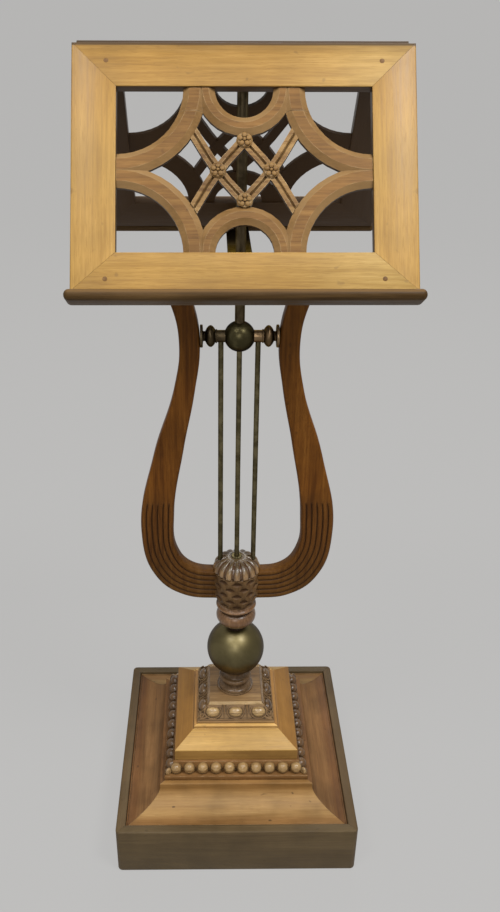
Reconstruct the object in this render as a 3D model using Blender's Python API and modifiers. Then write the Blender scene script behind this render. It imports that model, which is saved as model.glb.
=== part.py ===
"""Duet music stand: two hinged pierced desks back to back on a lyre pillar with a stepped square base.

Metres, +Z up, origin on the floor under the middle of the base. The first player's desk faces -Y.
"""

from math import asin, cos, degrees, pi, radians, sin, sqrt, tan

import bmesh
import bpy
from mathutils import Matrix, Vector

# Fits
GAP = 0.0003            # between pieces that touch
RUNNING = 0.0003        # radial, around a rod, tube or pin
MITRE_GAP = 0.0002      # taken off each mitred end

# Base: plinth boards, deck and cove
PLINTH_WIDTH = 0.469
PLINTH_HEIGHT = 0.111
PLINTH_BOARD = 0.018
DECK_THICKNESS = 0.020
QUIRK_DROP = 0.006      # outer edge of the cove below the plinth's rim
QUIRK_WIDTH = 0.004
COVE_LIP = 0.017        # outer edge of the cove above the deck
COVE_RISE = 0.037
COVE_SEAT_WIDTH = 0.240
FILLET_WIDTH = 0.304
FILLET_HEIGHT = 0.008

# Base: beaded tier, upper plinth and carved block
BEAD_TIER_WIDTH = 0.286
BEAD_TIER_STEP = 0.011
BEAD_TIER_HEIGHT = 0.034
BEAD_NECK_WIDTH = 0.250
BEAD_LINE_WIDTH = 0.266
BEAD_RADIUS = 0.0115
BEAD_SINK = 0.0015      # beads into the step under them
BEAD_COUNT = 10         # beads along one side, between the corner buds
BUD_LENGTH = 0.014      # along the corner's diagonal
BUD_WIDTH = 0.007
BUD_HEIGHT = 0.016
BUD_SETBACK = 0.0045    # bud's middle from the tier's corner, each way
UPPER_WIDTH = 0.244
UPPER_FASCIA = 0.025
SPLAY_RISE = 0.021
SPLAY_TOP_WIDTH = 0.176
UPPER_FILLET_WIDTH = 0.168
UPPER_FILLET = 0.007
BLOCK_WIDTH = 0.155
BLOCK_STRIP = 0.007
BLOCK_TOP_WIDTH = 0.104
BLOCK_HEIGHT = 0.035
EGG_COUNT = 3           # carved eggs on each sloping side
EGG_SPACING = 0.046
EGG_WIDTH = 0.026
EGG_LENGTH = 0.021
EGG_RISE = 0.006        # above the slope

# Turned stem
FOOT_HEIGHT = 0.047
FOOT_RADIUS = 0.037
FOOT_RING_RADIUS = 0.0325
FOOT_NECK_RADIUS = 0.026
BALL_RADIUS = 0.057
BALL_SEAT_RADIUS = 0.024
BALL_WALL = 0.0025
COLLAR_HEIGHT = 0.066
COLLAR_RADIUS = 0.0385
CUP_HEIGHT = 0.070
CUP_RADIUS = 0.044
CUP_FOOT_RADIUS = 0.038
SCALE_COUNT = 10        # carved hollows round the cup in one row
SCALE_ROWS = 5
SCALE_DEPTH = 0.0025
DOME_HEIGHT = 0.030
DOME_RADIUS = 0.045
DOME_CROWN_RADIUS = 0.014
DOME_LOBES = 16
LOBE_DEPTH = 0.0040
STEM_TUBE_RADIUS = 0.008
NUT_RADIUS = 0.016
NUT_HEIGHT = 0.022
NUT_FLOOR = 0.005
FERRULE_WALL = 0.0022
FERRULE_FLANGE_RADIUS = 0.010
FERRULE_FLANGE = 0.0025
FERRULE_LENGTH = 0.012

# Lyre, heights above the foot of the cup
ARM_THICKNESS = 0.028
ARM_ROUNDING = 0.004
ARM_FOOT_HEIGHT = 0.009
ARM_FOOT_DEPTH = 0.064
BELLY_WIDTH = 0.355
BELLY_HEIGHT = 0.160
ARM_BELLY_DEPTH = 0.061
WAIST_WIDTH = 0.201
WAIST_HEIGHT = 0.531
ARM_WAIST_DEPTH = 0.0346
LYRE_TOP_WIDTH = 0.270
LYRE_HEIGHT = 0.646
ARM_TOP_DEPTH = 0.039
REED_COUNT = 6          # reeds along the lower part of each arm, front and back
REED_STOP = 0.235       # where they stop
REED_GROOVE = 0.005
REED_DEPTH = 0.002
CROSSBAR_RADIUS = 0.0102
CROSSBAR_RING_RADIUS = 0.018
CROSSBAR_NECK_RADIUS = 0.008
CROSSBAR_DISC_RADIUS = 0.019
CROSSBAR_DISC = 0.0045
CROSSBAR_NECK = 0.005
CROSSBAR_RING = 0.016
CROSSBAR_BALL_RADIUS = 0.0255
CROSSBAR_SOCKET = 0.004
CROSSBAR_RISE = 0.010   # crossbar's axis above the waist
STRING_RADIUS = 0.0045
STRING_SPACING = 0.031
STRING_SOCKET = 0.008

# Sliding rod, turning pole tube and what they carry
ROD_RADIUS = 0.0045
POLE_RADIUS = 0.00825
POLE_SEAT = 0.003       # depth of the pole's seat in the crossbar ball
SCREW_RADIUS = 0.003
SCREW_KNOB_RADIUS = 0.010
SCREW_KNOB_LENGTH = 0.011
SCREW_NECK = 0.005
RIDGE_HEIGHT = 1.4657   # height of the desks' hinge axes
HINGE_SPREAD = 0.016    # between the two hinge axes
RIDGE_BLOCK_LENGTH = 0.360
RIDGE_BLOCK_HEIGHT = 0.030
RIDGE_BLOCK_DROP = 0.0047   # top of the block below the hinge axes
POLE_SOCKET = 0.022
FLANGE_RADIUS = 0.022
FLANGE_THICKNESS = 0.0035
SPREADER_WIDTH = 0.040
SPREADER_THICKNESS = 0.005
SPREADER_TAB = 0.026
SPREADER_LIFT = 0.005       # bar's underside above the ledges' undersides, measured down the desk
SPREADER_BOSS_RADIUS = 0.015
SPREADER_BOSS_HEIGHT = 0.024

# Desks, hung from their hinge axes
DESK_TILT = radians(32)     # from upright
DESK_WIDTH = 0.480
DESK_LENGTH = 0.3515
DESK_THICKNESS = 0.018
DESK_TOP_DROP = 0.004       # top edge below the hinge axis
STILE_WIDTH = 0.062
TOP_RAIL = 0.0626
BOTTOM_RAIL = 0.0547
DESK_ARRIS = 0.0015
LEDGE_THICKNESS = 0.016
LEDGE_REACH = 0.022
LEDGE_OVERHANG = 0.006
HINGE_BARREL_RADIUS = 0.0034
HINGE_PIN_RADIUS = 0.0016
HINGE_LEAF = 0.0016
HINGE_LEAF_CLEAR = 0.0002   # leaf face to hinge axis
HINGE_LENGTH = 0.060
HINGE_LEAF_HEIGHT = 0.026
HINGE_SPACING = 0.130       # hinge middle from the middle of the desk

# Tracery in each desk's opening
TRACERY_RECESS = 0.003
TRACERY_THICKNESS = 0.012
TRACERY_CHAMFER = 0.0085
TRACERY_EDGE = 0.006        # plain edge under the chamfer
CORNER_RIB = 0.032
CORNER_REACH = 0.008        # corner arcs past the middle of the opening's side
ARCH_RADIUS = 0.067
ARCH_RIB = 0.026
ARCH_OVERLAP = 0.014        # corner arcs into the arches
CROWN_JOINT = 0.033         # joint of the crown piece below the top rail
LATTICE_RIB = 0.015
LATTICE_THICKNESS = 0.008
LATTICE_GROOVE = 0.0025
LATTICE_LAP = 0.0006        # ribs of one pair above those of the other
LATTICE_SPREAD = 0.037      # side rosettes from the middle
LATTICE_END_ANGLE = radians(29)
ROSETTE_RADIUS = 0.0115
ROSETTE_RISE = 0.003
ROSETTE_SEAT = 0.007        # upper rosette's middle below the crown arch

TURNED_STEPS = 24
SMALL_STEPS = 16

# Heights that follow from the stack
deck_top = PLINTH_HEIGHT - QUIRK_DROP - COVE_LIP
cove_top = deck_top + GAP + COVE_LIP + COVE_RISE + FILLET_HEIGHT
bead_bottom = cove_top + GAP
upper_bottom = bead_bottom + BEAD_TIER_HEIGHT + GAP
block_bottom = upper_bottom + UPPER_FASCIA + SPLAY_RISE + UPPER_FILLET + GAP
foot_bottom = block_bottom + BLOCK_HEIGHT + GAP
foot_top = foot_bottom + FOOT_HEIGHT
ball_half = sqrt(BALL_RADIUS**2 - BALL_SEAT_RADIUS**2)
ball_middle = foot_top + GAP + ball_half
collar_bottom = ball_middle + ball_half + GAP
cup_bottom = collar_bottom + COLLAR_HEIGHT + GAP
dome_bottom = cup_bottom + CUP_HEIGHT + GAP
dome_top = dome_bottom + DOME_HEIGHT
crossbar_height = cup_bottom + WAIST_HEIGHT + CROSSBAR_RISE

# Places along the ridge and down the desks
board_inner = HINGE_LEAF_CLEAR + HINGE_LEAF + GAP
board_outer = board_inner + DESK_THICKNESS
board_bottom = DESK_TOP_DROP + DESK_LENGTH
opening_top = DESK_TOP_DROP + TOP_RAIL
opening_bottom = board_bottom - BOTTOM_RAIL
opening_half_width = DESK_WIDTH / 2 - STILE_WIDTH
opening_half_height = (opening_bottom - opening_top) / 2
opening_middle = (opening_top + opening_bottom) / 2
ledge_bottom = board_bottom + GAP + LEDGE_THICKNESS
block_top = RIDGE_HEIGHT - RIDGE_BLOCK_DROP
block_underside = block_top - RIDGE_BLOCK_HEIGHT
socket_top = block_underside + POLE_SOCKET
bore_radius = STEM_TUBE_RADIUS + RUNNING
stem_tube_bottom = deck_top - DECK_THICKNESS - GAP - NUT_HEIGHT + NUT_FLOOR + GAP
stem_tube_top = dome_top - FERRULE_LENGTH - GAP

FACE_FRONT = Matrix.Rotation(pi / 2, 4, "X")    # turns a plan drawn in XY to stand in XZ, its top to -Y


def clear_scene():
    for obj in list(bpy.data.objects):
        bpy.data.objects.remove(obj, do_unlink=True)


def collection_named(name):
    group = bpy.data.collections.new(name)
    bpy.context.scene.collection.children.link(group)
    return group


def finish(name, colour, roughness, metallic=0.0):
    material = bpy.data.materials.new(name)
    material.use_nodes = True
    shader = material.node_tree.nodes["Principled BSDF"]
    shader.inputs["Base Color"].default_value = (*colour, 1.0)
    shader.inputs["Roughness"].default_value = roughness
    shader.inputs["Metallic"].default_value = metallic
    return material


def tidy(mesh):
    """Merges loose seams and turns every face outwards."""
    bm = bmesh.new()
    bm.from_mesh(mesh)
    bmesh.ops.remove_doubles(bm, verts=bm.verts, dist=1e-6)
    bmesh.ops.recalc_face_normals(bm, faces=bm.faces)
    bm.to_mesh(mesh)
    bm.free()
    return mesh


def bake(obj):
    """The evaluated mesh of a helper object, which is then removed."""
    bpy.context.view_layer.update()
    graph = bpy.context.evaluated_depsgraph_get()
    mesh = bpy.data.meshes.new_from_object(obj.evaluated_get(graph))
    bpy.data.objects.remove(obj, do_unlink=True)
    return tidy(mesh)


def helper(name, data):
    obj = bpy.data.objects.new(name, data)
    obj.hide_render = True
    obj.display_type = "WIRE"
    cutters.objects.link(obj)
    return obj


def moved(mesh, matrix):
    mesh.transform(matrix)
    return tidy(mesh)


def combined(mesh, tools, operation):
    for tool in tools:
        target = helper("target", mesh)
        other = helper("tool", tool)
        modifier = target.modifiers.new(operation.title(), "BOOLEAN")
        modifier.operation = operation
        modifier.object = other
        mesh = bake(target)
        bpy.data.objects.remove(other, do_unlink=True)
    return mesh


def cut(mesh, *tools):
    return combined(mesh, tools, "DIFFERENCE")


def joined(mesh, *tools):
    return combined(mesh, tools, "UNION")


def kept_inside(mesh, tool):
    return combined(mesh, [tool], "INTERSECT")


def box(low, high):
    low = Vector(low)
    high = Vector(high)
    bm = bmesh.new()
    bmesh.ops.create_cube(bm, size=1.0)
    bmesh.ops.scale(bm, vec=high - low, verts=bm.verts)
    bmesh.ops.translate(bm, vec=(low + high) / 2, verts=bm.verts)
    mesh = bpy.data.meshes.new("box")
    bm.to_mesh(mesh)
    bm.free()
    return mesh


def rod(radius, start, end, steps=TURNED_STEPS):
    """A cylinder between two points."""
    start = Vector(start)
    end = Vector(end)
    along = end - start
    bm = bmesh.new()
    size = {"radius1": radius, "radius2": radius, "depth": along.length}
    bmesh.ops.create_cone(bm, cap_ends=True, segments=steps, **size)
    turn = Vector((0, 0, 1)).rotation_difference(along).to_matrix().to_4x4()
    bmesh.ops.transform(bm, matrix=Matrix.Translation((start + end) / 2) @ turn, verts=bm.verts)
    mesh = bpy.data.meshes.new("rod")
    bm.to_mesh(mesh)
    bm.free()
    return mesh


def turned(profile, steps=TURNED_STEPS, ring=False):
    """A profile of (radius, height) points, listed down its outer side, turned about Z."""
    count = len(profile)
    edges = [(i, i + 1) for i in range(count - 1)]
    if ring:
        edges.append((count - 1, 0))
    mesh = bpy.data.meshes.new("profile")
    mesh.from_pydata([(r, 0, z) for r, z in profile], edges, [])
    obj = helper("profile", mesh)
    screw = obj.modifiers.new("Screw", "SCREW")
    screw.steps = screw.render_steps = steps
    screw.use_merge_vertices = True
    screw.merge_threshold = 0.00001
    return bake(obj)


def squared(profile):
    """A profile of (half width, height) points made into a square tier."""
    mesh = turned([(half * sqrt(2), z) for half, z in profile], steps=4)
    return moved(mesh, Matrix.Rotation(pi / 4, 4, "Z"))


def bored(mesh, radius, low, high):
    return cut(mesh, rod(radius, (0, 0, low - 0.01), (0, 0, high + 0.01)))


def outlined(points, thickness):
    """A straight-sided plan in XY with a thickness from z = 0 upwards."""
    curve = bpy.data.curves.new("outline", "CURVE")
    curve.dimensions = "2D"
    curve.fill_mode = "BOTH"
    curve.extrude = thickness / 2
    spline = curve.splines.new("POLY")
    spline.points.add(len(points) - 1)
    for point, (x, y) in zip(spline.points, points):
        point.co = (x, y, 0, 1)
    spline.use_cyclic_u = True
    mesh = bake(helper("outline", curve))
    return moved(mesh, Matrix.Translation((0, 0, thickness / 2)))


def rounded(mesh, width, segments=2, angle=radians(50)):
    obj = helper("rounded", mesh)
    bevel = obj.modifiers.new("Bevel", "BEVEL")
    bevel.width = width
    bevel.segments = segments
    bevel.limit_method = "ANGLE"
    bevel.angle_limit = angle
    return bake(obj)


def swept(section, points, lift):
    """A closed section carried along a smooth curve through points in XY, at a height."""
    outline = bpy.data.curves.new("section", "CURVE")
    outline.dimensions = "2D"
    spline = outline.splines.new("POLY")
    spline.points.add(len(section) - 1)
    for point, (x, y) in zip(spline.points, section):
        point.co = (x, y, 0, 1)
    spline.use_cyclic_u = True
    profile = helper("section", outline)
    curve = bpy.data.curves.new("path", "CURVE")
    curve.dimensions = "3D"
    curve.twist_mode = "Z_UP"
    curve.resolution_u = 3
    curve.bevel_mode = "OBJECT"
    curve.bevel_object = profile
    curve.use_fill_caps = True
    path = curve.splines.new("BEZIER")
    path.bezier_points.add(len(points) - 1)
    for point, (x, y) in zip(path.bezier_points, points):
        point.co = (x, y, lift)
        point.handle_left_type = point.handle_right_type = "AUTO"
    mesh = bake(helper("path", curve))
    bpy.data.objects.remove(profile, do_unlink=True)
    return mesh


def mitred_side(profile):
    """The front length of a square moulding: each (half width, height) point runs from mitre to mitre."""
    bm = bmesh.new()
    corners = [bm.verts.new((-(half - MITRE_GAP), -half, z)) for half, z in profile]
    face = bm.faces.new(corners)
    made = bmesh.ops.extrude_face_region(bm, geom=[face])
    for vert in made["geom"]:
        if isinstance(vert, bmesh.types.BMVert):
            vert.co.x = -vert.co.x
    mesh = bpy.data.meshes.new("moulding")
    bm.to_mesh(mesh)
    bm.free()
    return tidy(mesh)


def arc(middle, radius, start, end, count):
    """Points of a round stretch, from one angle to another in degrees."""
    angles = [radians(start + (end - start) * i / count) for i in range(count + 1)]
    return [(middle[0] + radius * cos(a), middle[1] + radius * sin(a)) for a in angles]


def latitude(rise):
    """The angle above the middle, in degrees, of a point this high on a ball of radius 1."""
    return degrees(asin(rise))


def add(name, mesh, material, parent=None, matrix=None):
    mesh.name = name
    obj = bpy.data.objects.new(name, mesh)
    mesh.materials.clear()
    mesh.materials.append(material)
    mesh.shade_smooth()
    mesh.set_sharp_from_angle(angle=radians(32))
    stand.objects.link(obj)
    obj.parent = parent
    if matrix is not None:
        obj.matrix_local = matrix
    return obj


def axis_empty(name, location, rotation=(0, 0, 0), parent=None):
    empty = bpy.data.objects.new(name, None)
    empty.location = location
    empty.rotation_euler = rotation
    empty.empty_display_size = 0.05
    empty.parent = parent
    stand.objects.link(empty)
    return empty


def build_plinth(parent):
    """Four mitred boards round a deck, with four mitred lengths of cove inside their rim."""
    outer = PLINTH_WIDTH / 2
    inner = outer - PLINTH_BOARD
    board = [(outer, 0), (outer, PLINTH_HEIGHT), (inner, PLINTH_HEIGHT), (inner, 0)]
    lip = deck_top + GAP + COVE_LIP
    edge = inner - GAP
    run = edge - QUIRK_WIDTH - FILLET_WIDTH / 2
    hollow = [
        (edge - QUIRK_WIDTH - run * sin(a), lip + COVE_RISE * (1 - cos(a)))
        for a in [radians(12 * i) for i in range(8)]
    ]
    cove = [(edge, deck_top + GAP), (edge, lip), *hollow]
    cove += [(FILLET_WIDTH / 2, lip + COVE_RISE), (FILLET_WIDTH / 2, cove_top)]
    cove += [(COVE_SEAT_WIDTH / 2, cove_top), (COVE_SEAT_WIDTH / 2, deck_top + GAP)]
    for index, side in enumerate(("front", "right", "back", "left")):
        quarter = Matrix.Rotation(index * pi / 2, 4, "Z")
        add(f"plinth_{side}", mitred_side(board), oak_dark, parent, quarter)
        add(f"cove_{side}", mitred_side(cove), oak_warm, parent, quarter)
    half = inner - GAP
    deck = box((-half, -half, deck_top - DECK_THICKNESS), (half, half, deck_top))
    add("base_deck", bored(deck, bore_radius, 0, deck_top), oak_dark, parent)


def bead_rows(sides):
    """Round beads along two opposite sides of the beaded tier, with a pointed bud at one corner of each."""
    bm = bmesh.new()
    half = BEAD_LINE_WIDTH / 2
    level = bead_bottom + BEAD_TIER_STEP + BEAD_RADIUS - BEAD_SINK
    edge = BEAD_TIER_WIDTH / 2 - BUD_SETBACK
    bud_level = bead_bottom + BEAD_TIER_STEP + BUD_HEIGHT / 2 - BEAD_SINK
    bud = Matrix.Diagonal((BUD_LENGTH / 2, BUD_WIDTH / 2, BUD_HEIGHT / 2, 1))
    for side in sides:
        quarter = Matrix.Rotation(side * pi / 2, 4, "Z")
        for i in range(BEAD_COUNT):
            along = -half + BEAD_LINE_WIDTH * (i + 0.5) / BEAD_COUNT
            place = quarter @ Matrix.Translation((along, -half, level))
            bmesh.ops.create_uvsphere(bm, u_segments=8, v_segments=4, radius=BEAD_RADIUS, matrix=place)
        corner = quarter @ Matrix.Translation((-edge, -edge, bud_level)) @ Matrix.Rotation(pi / 4, 4, "Z")
        bmesh.ops.create_uvsphere(bm, u_segments=8, v_segments=4, radius=1.0, matrix=corner @ bud)
    mesh = bpy.data.meshes.new("beads")
    bm.to_mesh(mesh)
    bm.free()
    return mesh


def egg_rows(strip, top):
    """Egg carving in the middle of the block's four slopes, each egg sunk by half its depth."""
    low = Vector((0, -BLOCK_WIDTH / 2, strip))
    high = Vector((0, -BLOCK_TOP_WIDTH / 2, top))
    slope = Matrix.Rotation((high - low).angle((0, 1, 0)), 4, "X")
    size = Matrix.Diagonal((EGG_WIDTH / 2, EGG_LENGTH / 2, EGG_RISE, 1))
    bm = bmesh.new()
    for side in range(4):
        quarter = Matrix.Rotation(side * pi / 2, 4, "Z")
        for i in range(EGG_COUNT):
            along = Vector(((i - (EGG_COUNT - 1) / 2) * EGG_SPACING, 0, 0))
            place = quarter @ Matrix.Translation((low + high) / 2 + along) @ slope @ size
            bmesh.ops.create_uvsphere(bm, u_segments=10, v_segments=6, radius=1.0, matrix=place)
    mesh = bpy.data.meshes.new("eggs")
    bm.to_mesh(mesh)
    bm.free()
    return mesh


def build_tiers(parent):
    step = bead_bottom + BEAD_TIER_STEP
    top = bead_bottom + BEAD_TIER_HEIGHT
    tier = squared(
        [
            (0, top),
            (BEAD_NECK_WIDTH / 2, top),
            (BEAD_NECK_WIDTH / 2, step),
            (BEAD_TIER_WIDTH / 2, step),
            (BEAD_TIER_WIDTH / 2, bead_bottom),
            (0, bead_bottom),
        ]
    )
    tier = joined(tier, bead_rows((0, 2)), bead_rows((1, 3)))
    add("bead_tier", bored(tier, bore_radius, bead_bottom, top), oak_warm, parent)

    fascia = upper_bottom + UPPER_FASCIA
    splay = fascia + SPLAY_RISE
    top = splay + UPPER_FILLET
    upper = squared(
        [
            (0, top),
            (UPPER_FILLET_WIDTH / 2, top),
            (UPPER_FILLET_WIDTH / 2, splay),
            (SPLAY_TOP_WIDTH / 2, splay),
            (UPPER_WIDTH / 2, fascia),
            (UPPER_WIDTH / 2, upper_bottom),
            (0, upper_bottom),
        ]
    )
    add("upper_plinth", bored(upper, bore_radius, upper_bottom, top), oak_gold, parent)

    strip = block_bottom + BLOCK_STRIP
    top = block_bottom + BLOCK_HEIGHT
    block = squared(
        [
            (0, top),
            (BLOCK_TOP_WIDTH / 2, top),
            (BLOCK_WIDTH / 2, strip),
            (BLOCK_WIDTH / 2, block_bottom),
            (0, block_bottom),
        ]
    )
    block = joined(block, egg_rows(strip, top))
    add("carved_block", bored(block, bore_radius, block_bottom, top), oak_carved, parent)


def ringed(outer, inner=None):
    """Adds a straight bore to an outer profile, so that it turns into a ring."""
    inner = bore_radius if inner is None else inner
    return [(inner, outer[0][1]), *outer, (inner, outer[-1][1])]


def cup_profile(grow=0.0):
    """The cup swells from its foot; grow moves the side outwards for the joint with the arms."""
    side = []
    for i in range(2 * SCALE_ROWS + 1):
        share = 1 - i / (2 * SCALE_ROWS)
        swell = (CUP_RADIUS - CUP_FOOT_RADIUS) * max(0, 1 - share / 0.6) ** 3
        side.append((CUP_RADIUS - swell + grow, cup_bottom + CUP_HEIGHT * share))
    return side


def scaled_cup():
    """Rows of carved hollows round the cup, each row set half a space on from the one below."""
    mesh = turned(ringed(cup_profile()), SCALE_COUNT * 8, ring=True)
    for vert in mesh.vertices:
        flat = Vector(vert.co[:2])
        level = (vert.co.z - cup_bottom) / CUP_HEIGHT * SCALE_ROWS
        if flat.length < (bore_radius + CUP_FOOT_RADIUS) / 2:
            continue
        turn = Vector((0, -1)).angle_signed(flat) * SCALE_COUNT + pi * int(level)
        pulled = SCALE_DEPTH * max(0, cos(turn)) ** 2 * sin(pi * level) ** 2
        vert.co.x *= (flat.length - pulled) / flat.length
        vert.co.y *= (flat.length - pulled) / flat.length
    return tidy(mesh)


def lobed_dome():
    """The dome's lobes swell between the crown and a rounded rim, deepest at the shoulder."""
    rim = DOME_RADIUS - DOME_CROWN_RADIUS
    shoulder = arc((DOME_CROWN_RADIUS, dome_top - rim), rim, 90, 0, 5)
    squeeze = (DOME_HEIGHT - 0.004) / rim
    outer = [(r, dome_top - (dome_top - z) * squeeze) for r, z in shoulder]
    outer += [(DOME_RADIUS, dome_bottom + 0.002), (DOME_RADIUS - 0.003, dome_bottom)]
    mesh = turned([(0, dome_top), *outer, (0, dome_bottom)], steps=DOME_LOBES * 4)
    for vert in mesh.vertices:
        radius = Vector(vert.co[:2]).length
        if radius <= DOME_CROWN_RADIUS + 0.001:
            continue
        around = Vector((1, 0)).angle_signed(Vector(vert.co[:2]))
        share = (radius - DOME_CROWN_RADIUS) / rim
        pulled = LOBE_DEPTH * share * (0.5 - 0.5 * cos(around * DOME_LOBES))
        vert.co.x *= (radius - pulled) / radius
        vert.co.y *= (radius - pulled) / radius
    return tidy(mesh)


def build_stem(parent):
    """Turned pieces threaded on a tube, which a capped nut under the deck draws together."""
    z = foot_bottom
    ring = z + FOOT_HEIGHT * 0.55
    foot = [(BALL_SEAT_RADIUS - 0.001, foot_top), (BALL_SEAT_RADIUS, foot_top - 0.004)]
    foot += [(0.022, foot_top - 0.009), (0.025, ring + 0.007)]
    foot += arc((FOOT_RING_RADIUS - 0.005, ring), 0.005, 60, -60, 4)
    foot += [(FOOT_NECK_RADIUS, ring - 0.007), (FOOT_NECK_RADIUS + 0.002, z + 0.008)]
    foot += [(FOOT_NECK_RADIUS + 0.006, z + 0.004)]
    foot += [(FOOT_RADIUS, z + 0.003), (FOOT_RADIUS, z)]
    add("stem_foot", turned(ringed(foot), ring=True), oak_carved, parent)

    seat = latitude(ball_half / BALL_RADIUS)
    inside = BALL_RADIUS - BALL_WALL
    end = ball_half - BALL_WALL
    flange = latitude(end / inside)
    shell = [(bore_radius, ball_middle + ball_half), *arc((0, ball_middle), BALL_RADIUS, seat, -seat, 12)]
    shell += [(bore_radius, ball_middle - ball_half), (bore_radius, ball_middle - end)]
    shell += [*arc((0, ball_middle), inside, -flange, flange, 8), (bore_radius, ball_middle + end)]
    add("stem_ball", turned(shell, ring=True), brass_olive, parent)

    z = collar_bottom
    torus = COLLAR_HEIGHT * 0.235
    top = z + COLLAR_HEIGHT
    collar = [(CUP_FOOT_RADIUS - 0.001, top)]
    collar += arc((CUP_FOOT_RADIUS - 0.001, top - 0.0045), 0.003, 70, -70, 4)
    collar += arc((COLLAR_RADIUS - torus, z + COLLAR_HEIGHT * 0.43), torus, 70, -75, 8)
    collar += [(BALL_SEAT_RADIUS + 0.002, z + 0.006), (BALL_SEAT_RADIUS, z)]
    add("collar", turned(ringed(collar), ring=True), oak_red, parent)

    add("scale_cup", scaled_cup(), oak_carved, parent)

    bush = ROD_RADIUS + RUNNING + FERRULE_WALL
    above = dome_top + 0.01
    dome = cut(
        lobed_dome(),
        rod(bore_radius, (0, 0, dome_bottom - 0.01), (0, 0, stem_tube_top + GAP)),
        rod(bush + GAP, (0, 0, dome_bottom), (0, 0, above), SMALL_STEPS),
    )
    socket = dome_top - 0.004 - STRING_SOCKET
    for x in (-STRING_SPACING, STRING_SPACING):
        dome = cut(dome, rod(STRING_RADIUS + RUNNING, (x, 0, socket), (x, 0, above), SMALL_STEPS))
    add("gadroon_dome", dome, oak_carved, parent)

    flange = dome_top + GAP
    rim = FERRULE_FLANGE_RADIUS
    slide = ROD_RADIUS + RUNNING
    ferrule = [(rim - 0.001, flange + FERRULE_FLANGE), (rim, flange + 0.0015), (rim, flange)]
    ferrule += [(bush, flange), (bush, flange - FERRULE_LENGTH)]
    add("dome_ferrule", turned(ringed(ferrule, slide), SMALL_STEPS, ring=True), brass_olive, parent)

    tube = ringed([(STEM_TUBE_RADIUS, stem_tube_top), (STEM_TUBE_RADIUS, stem_tube_bottom)], slide)
    add("stem_tube", turned(tube, SMALL_STEPS, ring=True), iron, parent)
    nut_top = deck_top - DECK_THICKNESS - GAP
    nut_bottom = nut_top - NUT_HEIGHT
    nut = rod(NUT_RADIUS, (0, 0, nut_bottom), (0, 0, nut_top), 6)
    nut = cut(nut, rod(bore_radius, (0, 0, nut_bottom + NUT_FLOOR), (0, 0, nut_top + 0.01), SMALL_STEPS))
    add("stem_nut", nut, iron, parent)


def arm_edges():
    """The outer and inner edge of an arm, from its root in the cup upwards."""
    foot = cup_bottom + ARM_FOOT_HEIGHT
    belly = cup_bottom + BELLY_HEIGHT
    waist = cup_bottom + WAIST_HEIGHT
    top = cup_bottom + LYRE_HEIGHT
    reach = BELLY_WIDTH / 2
    root = CUP_FOOT_RADIUS - 0.010
    outer = [
        (root, foot, True),
        (reach * 0.565, foot + 0.009, False),
        (reach * 0.855, foot + 0.050, False),
        (reach, belly, False),
        (reach * 0.845, belly + (waist - belly) * 0.425, False),
        (WAIST_WIDTH / 2 + 0.010, belly + (waist - belly) * 0.775, False),
        (WAIST_WIDTH / 2, waist, False),
        (WAIST_WIDTH / 2 + 0.0115, waist + (top - waist) * 0.56, False),
        (LYRE_TOP_WIDTH / 2, top - 0.006, True),
    ]
    inner = [
        (root, foot + ARM_FOOT_DEPTH, True),
        (reach * 0.480, foot + ARM_FOOT_DEPTH + 0.010, False),
        (reach - ARM_BELLY_DEPTH - 0.006, belly - 0.045, False),
        (reach - ARM_BELLY_DEPTH, belly + 0.035, False),
        (reach - ARM_BELLY_DEPTH - 0.021, belly + (waist - belly) * 0.480, False),
        (WAIST_WIDTH / 2 - ARM_WAIST_DEPTH + 0.0095, belly + (waist - belly) * 0.765, False),
        (WAIST_WIDTH / 2 - ARM_WAIST_DEPTH, waist, False),
        (WAIST_WIDTH / 2 - ARM_WAIST_DEPTH + 0.0100, waist + (top - waist) * 0.56, False),
        (LYRE_TOP_WIDTH / 2 - ARM_TOP_DEPTH, top, True),
    ]
    return outer, inner


def reed_groove(share, face):
    """A groove along an arm's face, at a share of its width from the outer edge, up to the reeds' stop."""
    points = []
    for (x1, z1, _), (x2, z2, _) in zip(*arm_edges()):
        points.append(Vector((x1 + (x2 - x1) * share, z1 + (z2 - z1) * share)))
    stop = cup_bottom + REED_STOP
    below = [point for point in points if point.y < stop]
    last = below[-1]
    ahead = points[len(below)]
    path = below + [last.lerp(ahead, (stop - last.y) / (ahead.y - last.y))]
    half = REED_GROOVE / 2
    section = [(-half, REED_DEPTH), (0, -REED_DEPTH), (half, REED_DEPTH)]
    groove = swept(section, path, 0)
    lift = Matrix.Translation((0, 0, ARM_THICKNESS / 2))
    return moved(groove, Matrix.Diagonal((1, 1, face, 1)) @ lift)


def arm_mesh():
    """One lyre arm: a curved outline, as thick as a plank, hollowed to the cup it springs from."""
    outer, inner = arm_edges()
    curve = bpy.data.curves.new("arm", "CURVE")
    curve.dimensions = "2D"
    curve.fill_mode = "BOTH"
    curve.extrude = ARM_THICKNESS / 2 - ARM_ROUNDING
    curve.bevel_depth = ARM_ROUNDING
    curve.bevel_resolution = 1
    curve.offset = -ARM_ROUNDING
    curve.resolution_u = 4
    spline = curve.splines.new("BEZIER")
    spline.bezier_points.add(len(outer) + len(inner) - 1)
    for point, (x, z, corner) in zip(spline.bezier_points, outer + inner[::-1]):
        point.co = (x, z, 0)
        point.handle_left_type = point.handle_right_type = "VECTOR" if corner else "AUTO"
    spline.use_cyclic_u = True
    mesh = bake(helper("arm", curve))
    for i in range(1, REED_COUNT):
        mesh = cut(mesh, reed_groove(i / REED_COUNT, 1), reed_groove(i / REED_COUNT, -1))
    clear = max(DOME_RADIUS, CUP_RADIUS) + GAP
    hollow = [(0, dome_top), (clear, dome_top), (clear, dome_bottom - GAP)]
    hollow += [*cup_profile(GAP), (0, cup_bottom)]
    return cut(moved(mesh, FACE_FRONT), turned(hollow, SCALE_COUNT * 8))


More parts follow.
